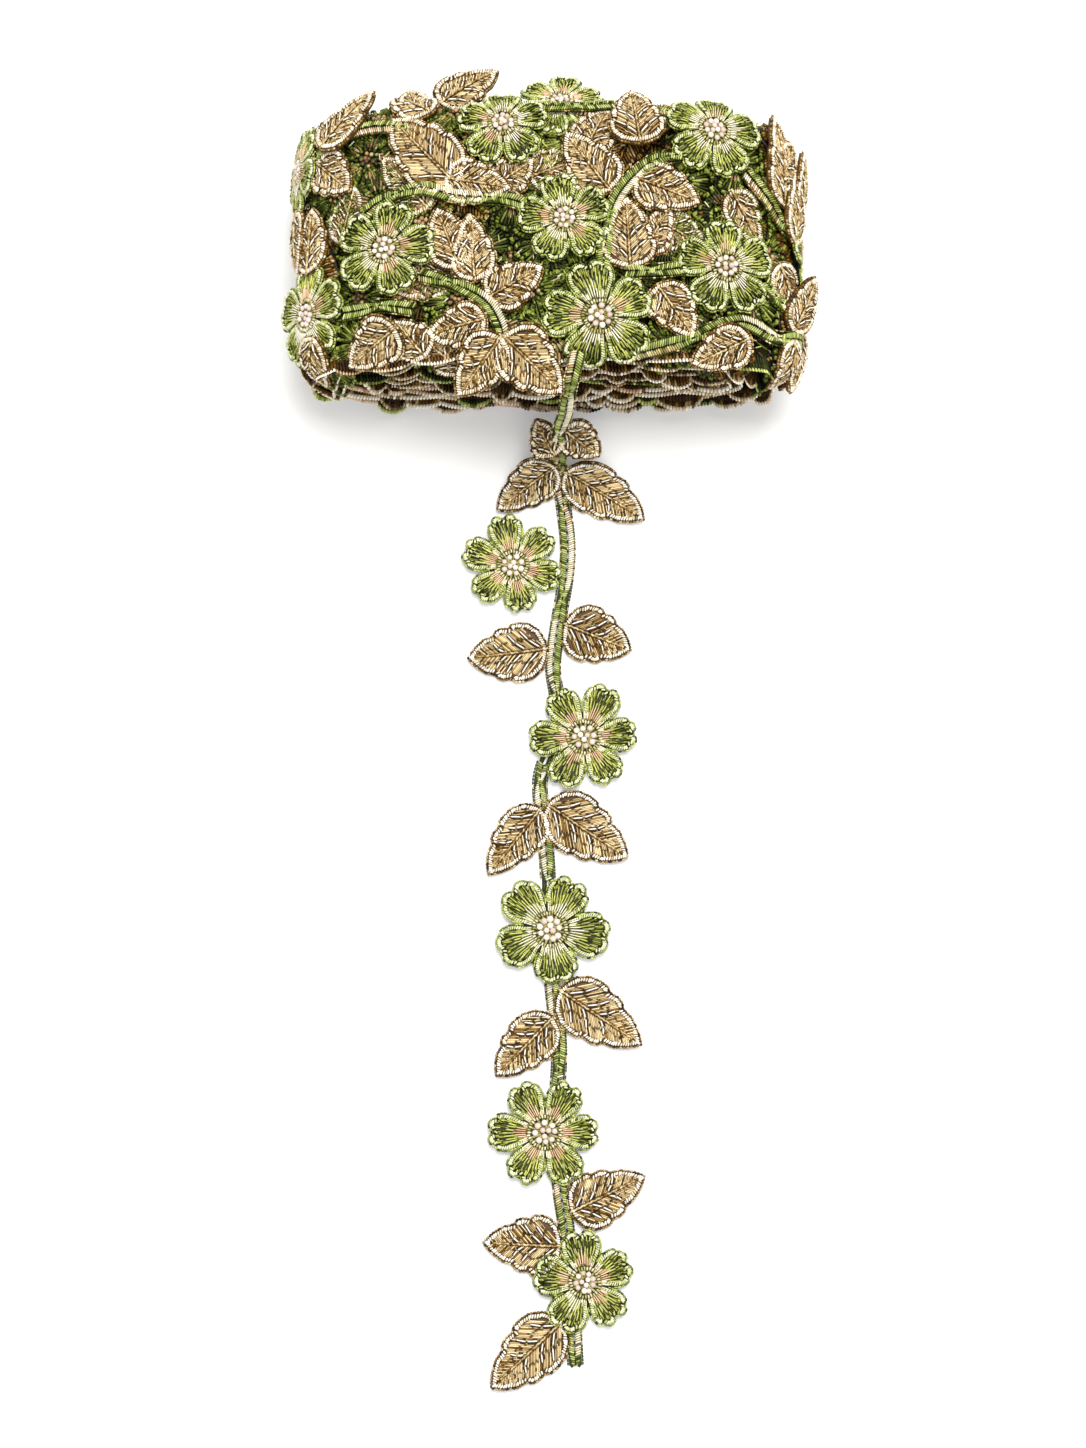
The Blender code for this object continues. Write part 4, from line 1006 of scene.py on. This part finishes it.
# %% The outer turn's motifs, in millimetres and degrees
ROLL_FLOWERS = (
    (-39.6, -6.3, 12.3, 5, 75), (3.6, 0.0, 11.8, 5, 100), (12.0, -24.4, 13.6, 5, 31),
    (42.5, -10.6, 12.3, 5, 95), (40.0, 23.8, 12.4, 5, 80), (-11.2, 24.3, 11.2, 5, 92),
    (74.0, 1.0, 12.0, 5, 40), (-80.0, -2.0, 12.0, 5, 10))
ROLL_LEAVES = (
    (-30.2, 17.7, 132, 25.0, 16.5), (-17.2, 9.2, -10, 17.0, 12.5), (-24.1, -4.6, 110, 17.0, 12.0),
    (-18.4, -7.2, 95, 17.5, 11.5), (-8.2, -15.9, 31, 16.0, 12.5), (-21.9, -26.7, 195, 15.0, 11.5),
    (-33.2, -29.0, 130, 12.0, 11.0), (9.2, 14.4, 126, 19.0, 14.0), (28.3, 7.8, 340, 17.5, 13.0),
    (18.8, -3.3, 93, 18.5, 14.0), (30.0, -22.5, 305, 16.0, 12.5), (-53.5, 14.1, 317, 14.0, 12.0),
    (-60.5, -1.0, 84, 17.0, 12.0), (11.5, 24.0, 65, 15.0, 12.0, 1.3), (26.0, -1.5, 60, 14.0, 10.5, 1.3),
    (60.6, 19.0, 60, 16.0, 12.0), (61.0, -14.5, 300, 17.0, 12.0), (-35.0, 33.6, 140, 17.0, 12.0),
    (-58.0, 31.0, 70, 15.0, 11.0), (-35.0, 10.6, 130, 19.0, 13.0, 1.9), (-9.6, 11.2, 35, 15.0, 12.0, 1.2),
    (48.6, 3.0, 300, 16.0, 11.0, 1.8), (-50.0, 4.0, 75, 16.0, 11.5, 2.0), (1.5, 13.5, 20, 15.0, 12.0, 2.0),
    (-30.0, -14.5, 200, 16.0, 11.0, 2.0), (33.0, -3.0, 330, 15.0, 11.0, 2.0),
    (-62.0, -32.0, 240, 15.0, 11.0), (64.0, -32.0, 290, 15.0, 11.0), (-82.0, -31.0, 260, 16.0, 12.0),
    (-83.0, 22.0, 80, 17.0, 12.0), (82.0, 24.0, 20, 15.0, 11.0), (80.0, -26.0, 260, 17.0, 12.0))
ROLL_STEMS = (
    ((38.0, 17.0), (30.0, 16.6), (23.0, 13.6), (16.0, 5.0), (13.4, -6.0), (12.6, -16.0)),
    ((48.0, 14.0), (54.0, 8.0), (59.0, 2.4), (68.0, 0.0)),
    ((-46.0, 2.0), (-40.0, 6.0), (-31.0, 8.4), (-22.0, 6.0), (-10.0, 5.0), (-4.0, 2.6)),
    ((18.0, -13.0), (26.0, -12.6), (34.0, -11.2)),
    ((52.0, -12.0), (58.0, -17.6), (66.0, -15.0), (74.0, -8.0)),
    ((-31.0, -13.5), (-22.0, -16.4), (-15.0, -20.6), (-11.4, -27.0), (-10.8, -32.0)),
    ((-66.0, 14.0), (-54.0, 22.6), (-43.8, 25.0), (-34.0, 24.0)),
    ((-50.0, -21.4), (-45.0, -21.2), (-40.0, -20.6), (-32.0, -22.0)),
    ((20.0, -33.0), (33.6, -29.0), (46.0, -24.0), (56.0, -26.4), (68.0, -24.0), (84.0, -24.0)),
    ((-2.0, 30.0), (8.0, 30.0), (18.0, 31.0), (30.0, 28.0)), ((-72.0, -14.0), (-76.0, 4.0), (-74.0, 12.0)),
    ((76.0, 8.0), (73.0, 18.0), (78.0, 27.0)))

# %% The outer turn
roll_leaves, roll_flowers, roll_stems = (Needlework(on_roll, lift * MM, shade) for lift, shade in
                                         ((-0.3, 0.0), (0.1, 0.08), (-0.1, 0.05)))
for points in ROLL_STEMS:
    add_stem(roll_stems, points, half=1.8 * MM, flowers=ROLL_FLOWERS, paler=0.55)
for row in ROLL_LEAVES:
    leaf = dict(zip(LEAF_COLUMNS, row))
    roll_leaves.lift = -(0.3 + leaf.get("down", 0.0)) * MM
    add_leaf(roll_leaves, leaf, look="soft")
for row in ROLL_FLOWERS:
    add_flower(roll_flowers, dict(zip(FLOWER_COLUMNS, row)))
roll_pieces += [roll_leaves.finish("roll_leaves"), roll_flowers.finish("roll_flowers"),
                roll_stems.finish("roll_stems")]

# %% [markdown]
# ## Motifs that stand off the roll
# Wound askew, the trim doesn't lie flush everywhere. At the far edge and at both rounded sides some leaves
# and flowers stand off the roll and break its outline. Each has a small tilted plane of its own: a place,
# and how far and towards which side it leans.

# %% The standing motifs
STANDING_LEAVES = (
    ((-48.9, 145.4, 38.4), 140, 40, 49, (20.0, 12.5)), ((-19.6, 154.2, 37.0), 100, 22, 36, (18.0, 12.5)),
    ((-32.6, 149.2, 37.4), 92, 36, 104, (14.0, 12.0)), ((56.0, 136.5, 34.5), 4, 56, 97, (24.0, 13.0)),
    ((59.8, 126.5, 30.0), 2, 66, 84, (21.0, 12.0)), ((61.6, 134.0, 26.0), -4, 74, 88, (16.0, 11.0)),
    ((61.4, 101.0, 31.0), -20, 52, 66, (16.0, 11.0)), ((59.6, 89.5, 24.0), -8, 62, 262, (18.0, 12.0)),
    ((-61.0, 118.0, 27.0), 180, 70, 276, (17.0, 11.0)), ((20.9, 143.6, 45.0), 92, 22, 97, (17.5, 14.0)),
    ((-42.0, 87.0, 41.4), 236, 38, 216, (17.0, 13.0)), ((-16.6, 81.6, 43.6), 268, 30, 234, (18.5, 13.5)),
    ((-3.9, 82.0, 43.9), 276, 26, 316, (20.5, 15.5)), ((41.0, 86.0, 42.0), 288, 34, 206, (16.0, 12.0)),
    ((-25.0, 85.6, 41.4), 262, 50, 140, (14.0, 11.0)))
STANDING_FLOWERS = (
    ((2.6, 148.8, 40.2), 90, 30, 20, (10.9, 6)), ((-57.8, 98.0, 31.4), 186, 52, 15, (12.8, 5)),
    ((-60.4, 137.0, 26.0), 176, 72, 40, (11.5, 5)))

standing = Needlework(on_roll)
for row in STANDING_LEAVES:
    stand(standing, add_leaf, row, LEAF_SIZES, look="soft")
for row in STANDING_FLOWERS:
    stand(standing, add_flower, row, FLOWER_SIZES)
roll_pieces.append(standing.finish("roll_standing_motifs"))

# %% [markdown]
# ## The turns below
# In the gaps of the outer turn the next two show, in deeper and deeper shade. They are sewn with fewer,
# thicker stitches and laid out by a seeded scatter that keeps the motifs of one turn apart. Deepest of all
# lie single bars and threads, thrown in every direction.

# %% The turns below
# each turn's name, lift in mm, shade, least distance between motifs in mm, share of flowers and fineness
UNDER_TURNS = (("roll_second_turn", -2.4, 0.52, 11.4, 0.6, 0.58),
               ("roll_third_turn", -3.8, 0.66, 11.7, 0.5, 0.46))
SCATTER_TRIES = 5000
# random numbers of their own, so that a change further up doesn't move what shows in the gaps
rng = np.random.default_rng(31)

for name, lift, shade, apart, flower_share, fine in UNDER_TURNS:
    # painted shade: a turn below gets darker paints and lower tones, a little more or less for each motif
    under = Needlework(on_roll, lift * MM, shade, in_painted_shade=True)
    spots = []
    for _ in range(SCATTER_TRIES):
        spot = np.array((rng.uniform(-82, 82), rng.uniform(-34, 31)))
        if all(np.hypot(*(spot - other)) > apart for other in spots):
            spots.append(spot)
    print(name, "motifs:", len(spots))
    for x, y in spots:
        turn = rng.uniform(0, 360)
        under.shade = shade + rng.uniform(-0.18, 0.18)
        if rng.random() < flower_share:
            add_flower(under, dict(zip(FLOWER_COLUMNS, (x, y, 9.6, 5, turn))), fine)
        else:
            add_leaf(under, dict(zip(LEAF_COLUMNS, (x, y, turn, 17.0, 12.0))), fine, look="soft")
    roll_pieces.append(under.finish(name))

# %% The loose threads between the turns
DEEP_COUNT, PALE_COUNT = 2600, 420
DEEP_PAINTS = {"dark green": 0.36, "stem green": 0.18, "edge green": 0.1, "leaf brown": 0.22,
               "leaf gold": 0.1, "rose tan": 0.04}
PALE_PAINTS = {"pale green edge": 0.4, "edge green": 0.35, "rose white knot": 0.25}


def scattered(count, shortest, longest, height):
    """Both ends of short threads, thrown in every direction over the roll."""
    middle = np.stack((rng.uniform(-84, 84, count), rng.uniform(-33, 31, count)), 1) * MM
    heading = rng.uniform(0, 2 * math.pi, count)
    length = rng.uniform(shortest, longest, count)
    reach = np.stack((np.cos(heading), np.sin(heading)), 1) * length[:, None] * MM
    return raised(middle - reach, height), raised(middle + reach, height)


def mixed_paints(count, shares):
    """A paint for each thread, drawn by the paints' shares."""
    return rng.choice([paint_number[name] for name in shares], count, p=list(shares.values()))


# painted shade: these threads lie deepest, so their low tones put most of them in their paints' deep shade
deep_threads = Needlework(on_roll, -3.0 * MM)
deep_threads.stitches(*scattered(DEEP_COUNT, 1.5, 3.6, 0.0), rng.uniform(0.3, 0.5, DEEP_COUNT) * MM,
                      rng.uniform(0, 0.7, DEEP_COUNT) * MM, mixed_paints(DEEP_COUNT, DEEP_PAINTS),
                      rng.uniform(0.0, 0.5, DEEP_COUNT))
# a few pale ends of thread, a little higher, catch the light
deep_threads.stitches(*scattered(PALE_COUNT, 0.3, 1.3, 1.9 * MM), 0.19 * MM, 0.3 * MM,
                      mixed_paints(PALE_COUNT, PALE_PAINTS), rng.uniform(0.3, 0.9, PALE_COUNT))
roll_pieces.append(deep_threads.finish("roll_deep_threads"))

# %% [markdown]
# ## The ends of the roll
# Looking at an end, each turn shows as a thin waving edge, scalloped by the petals and leaves along the
# trim's side. The turns are one spiral. Its edge rises and falls, and its lobes reach out by different
# lengths, which leaves the gaps that a loosely wound trim has; painted shade darkens the stitches deep in
# them. Each lobe gets stitches towards its edge and a rim of satin along it.

# %% The spiral of turns
TURN_PITCH, TURN_COUNT = 4.4 * MM, 4.9
SPIRAL_START, FIRST_INSET = np.radians(112), 0.8 * MM
LOBES = 300
# each end's name, side, least and greatest lobe, then stitch pitch, stitch width and depth
TURN_ENDS = (("front", -1, -1.0, 3.0, 0.78, 1.0, -5.5), ("far", 1, -5.5, -3.0, 0.95, 1.2, -5.0))
SHALLOW = -1.0 * MM
LOBE_SHARES = (0.74, 0.10, 0.08, 0.08)
LOBE_FILLS = ("leaf brown", "dark green", "dark green", "leaf brown")
LOBE_RIMS = ("leaf beige", "edge green", "stem green", "rose tan")


def end_of_turn(inset, end):
    """How far along Y the roll's own shape reaches at a depth below its surface."""
    radius = SHOULDER_RADIUS[end]
    deepest = radius * (1 - math.cos(SHOULDER_TURN[end]))
    bent = np.sqrt(np.maximum(radius ** 2 - (radius - np.minimum(inset, radius)) ** 2, 0))
    reach = np.where(inset < deepest, bent, radius * math.sin(SHOULDER_TURN[end]))
    return FRONT_BEND_Y - reach if end == "front" else FAR_BEND_Y + reach


angle_fine = SPIRAL_START + np.linspace(0, 2 * math.pi * TURN_COUNT, 6000)
inset_fine = FIRST_INSET + TURN_PITCH * (angle_fine - angle_fine[0]) / (2 * math.pi)
spiral_x, spiral_z = oval_points(angle_fine, ROLL_WIDTH / 2 - inset_fine, ROLL_HEIGHT / 2 - inset_fine)
spiral_distance = distances(np.stack((spiral_x, spiral_z), 1))
spiral_out = np.stack((-np.gradient(spiral_z), np.gradient(spiral_x)), 1)
spiral_out /= np.hypot(*spiral_out.T)[:, None]
print("spiral length in mm:", round(spiral_distance[-1] / MM))


def turn_lobes(least, most):
    """The lobes along the spiral: where each starts, and how far it reaches."""
    starts = np.cumsum(rng.uniform(4.0, 12.0, LOBES)) * MM
    return np.concatenate(([0.0], starts)), rng.uniform(least, most, LOBES + 1) * MM


def on_spiral(end, side, starts, reaches, phase):
    """A surface for stitches on a turn: across runs along the spiral, along runs out of the roll's end."""

    def surface(places):
        distance = np.clip(places[:, 0], 0, spiral_distance[-1])
        x, z, out_x, out_z, inset = (np.interp(distance, spiral_distance, values) for values in
                                     (spiral_x, spiral_z, spiral_out[:, 0], spiral_out[:, 1], inset_fine))
        number = np.searchsorted(starts, distance, side="right") - 1
        share = (distance - starts[number]) / (starts[number + 1] - starts[number])
        bulge = np.sqrt(np.sin(math.pi * np.clip(share, 0, 1)))
        lobe = reaches[number] * bulge if side < 0 else reaches[number] - 1.5 * MM * (1 - bulge)
        # shorter lobes near the middle of the upper part, where the loose end passes at the front
        lobe *= 1 - 0.6 * np.exp(-(x / (12 * MM)) ** 2) * (z > 12 * MM)
        y = end_of_turn(inset, end) + side * (lobe + places[:, 1])
        wave = (1.05 * MM * np.sin(distance / (2.9 * MM) + phase)
                + 0.8 * MM * np.sin(distance / (9.7 * MM) + 2 * phase))
        height = places[:, 2] + wave * np.clip(1 + places[:, 1] / (5 * MM), 0, 1)
        level = np.maximum(ROLL_MIDDLE_Z + z + out_z * height, 0.2 * MM)
        return xyz(x + out_x * height, y, level) + PACKED_SHIFT

    return surface


for end, side, least, most, pitch, wide, deep in TURN_ENDS:
    starts, reaches = turn_lobes(least, most)
    if end == "front":
        reaches = np.maximum(reaches, 0.0)
    edge = Needlework(on_spiral(end, side, starts, reaches, rng.uniform(0, 6)))
    along = np.arange(0, spiral_distance[-1] - 1 * MM, pitch * MM)
    count = len(along)
    lobe = np.searchsorted(starts, along, side="right") - 1
    kind = rng.choice(4, LOBES + 1, p=LOBE_SHARES)[lobe]
    fill, rim = (np.array([paint_number[name] for name in names])[kind] for names in (LOBE_FILLS, LOBE_RIMS))
    tone = np.clip(rng.normal(0.5, 0.2, count) + rng.normal(0, 0.2, LOBES + 1)[lobe], 0, 1)
    # painted shade in the gaps between turns: the deepest stitches take a third of the lobe's tone, the fill
    # half of it, and the rim a little more than all of it
    under = np.where(kind == 1, paint_number["dark green"], paint_number["leaf brown"])
    edge.stitches(xyz(along, deep * MM), xyz(along, SHALLOW + 0.6 * MM), 0.5 * MM * wide, 0.0, under,
                  tone * 0.35)
    fill = np.where((kind == 0) & (rng.random(count) < 0.3), paint_number["leaf gold"], fill)
    edge.stitches(xyz(along, SHALLOW - 0.8 * MM), xyz(along + 0.3 * MM, 0.5 * MM), 0.46 * MM * wide, 0.1 * MM,
                  fill, tone * 0.5)
    edge.stitches(xyz(along - 0.1 * MM, -0.1 * MM, -0.3 * MM), xyz(along + 0.1 * MM, 1.1 * MM, 0.3 * MM),
                  0.36 * MM * wide, 0.1 * MM, rim, np.clip(tone * 1.2, 0, 1))
    roll_pieces.append(edge.finish("roll_turn_edges_" + end))
for piece in roll_pieces:
    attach(piece, "root")
    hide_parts("wound_roll")

# %% [markdown]
# ## Floor and light
# The photograph is lit like a shop's product picture: a white acrylic sheet that glows a little from below,
# a wide soft light above and somewhat behind the roll, and a weaker one in front, so shadows are pale and
# fall towards the viewer.

# %% The floor
FLOOR_HALF, FLOOR_LEVEL = 2.5, -0.02 * MM
floor_shape = bmesh.new()
bmesh.ops.create_grid(floor_shape, x_segments=1, y_segments=1, size=FLOOR_HALF)
acrylic, _ = new_material("white acrylic sheet lit from below", {
    "Base Color": linear("#E7E6E4"), "Roughness": 0.95,
    "Emission Color": linear("#FFFFFF"), "Emission Strength": 0.2})
floor = object_from(floor_shape, "floor", acrylic)
floor.location.z = FLOOR_LEVEL


# %% The lights
def softbox(name, place, size, watts, target=(0, 0.02, 0)):
    """A square area light that faces a target."""
    data = bpy.data.lights.new(name, "AREA")
    data.size, data.energy = size, watts
    made = add_object(name, data)
    made.location = place
    made.rotation_euler = (Vector(target) - Vector(place)).to_track_quat("-Z", "Y").to_euler()


softbox("main softbox", (0.14, 0.42, 1.3), 0.85, 22.0)
softbox("front fill", (0.2, -0.9, 1.2), 1.2, 8.0)
world = bpy.data.worlds.new("studio")
world.use_nodes = True
set_sockets(world.node_tree.nodes["Background"], {"Color": linear("#FFFFFF"), "Strength": 0.5})
bpy.context.scene.world = world
bpy.context.scene.view_settings.view_transform = "Standard"
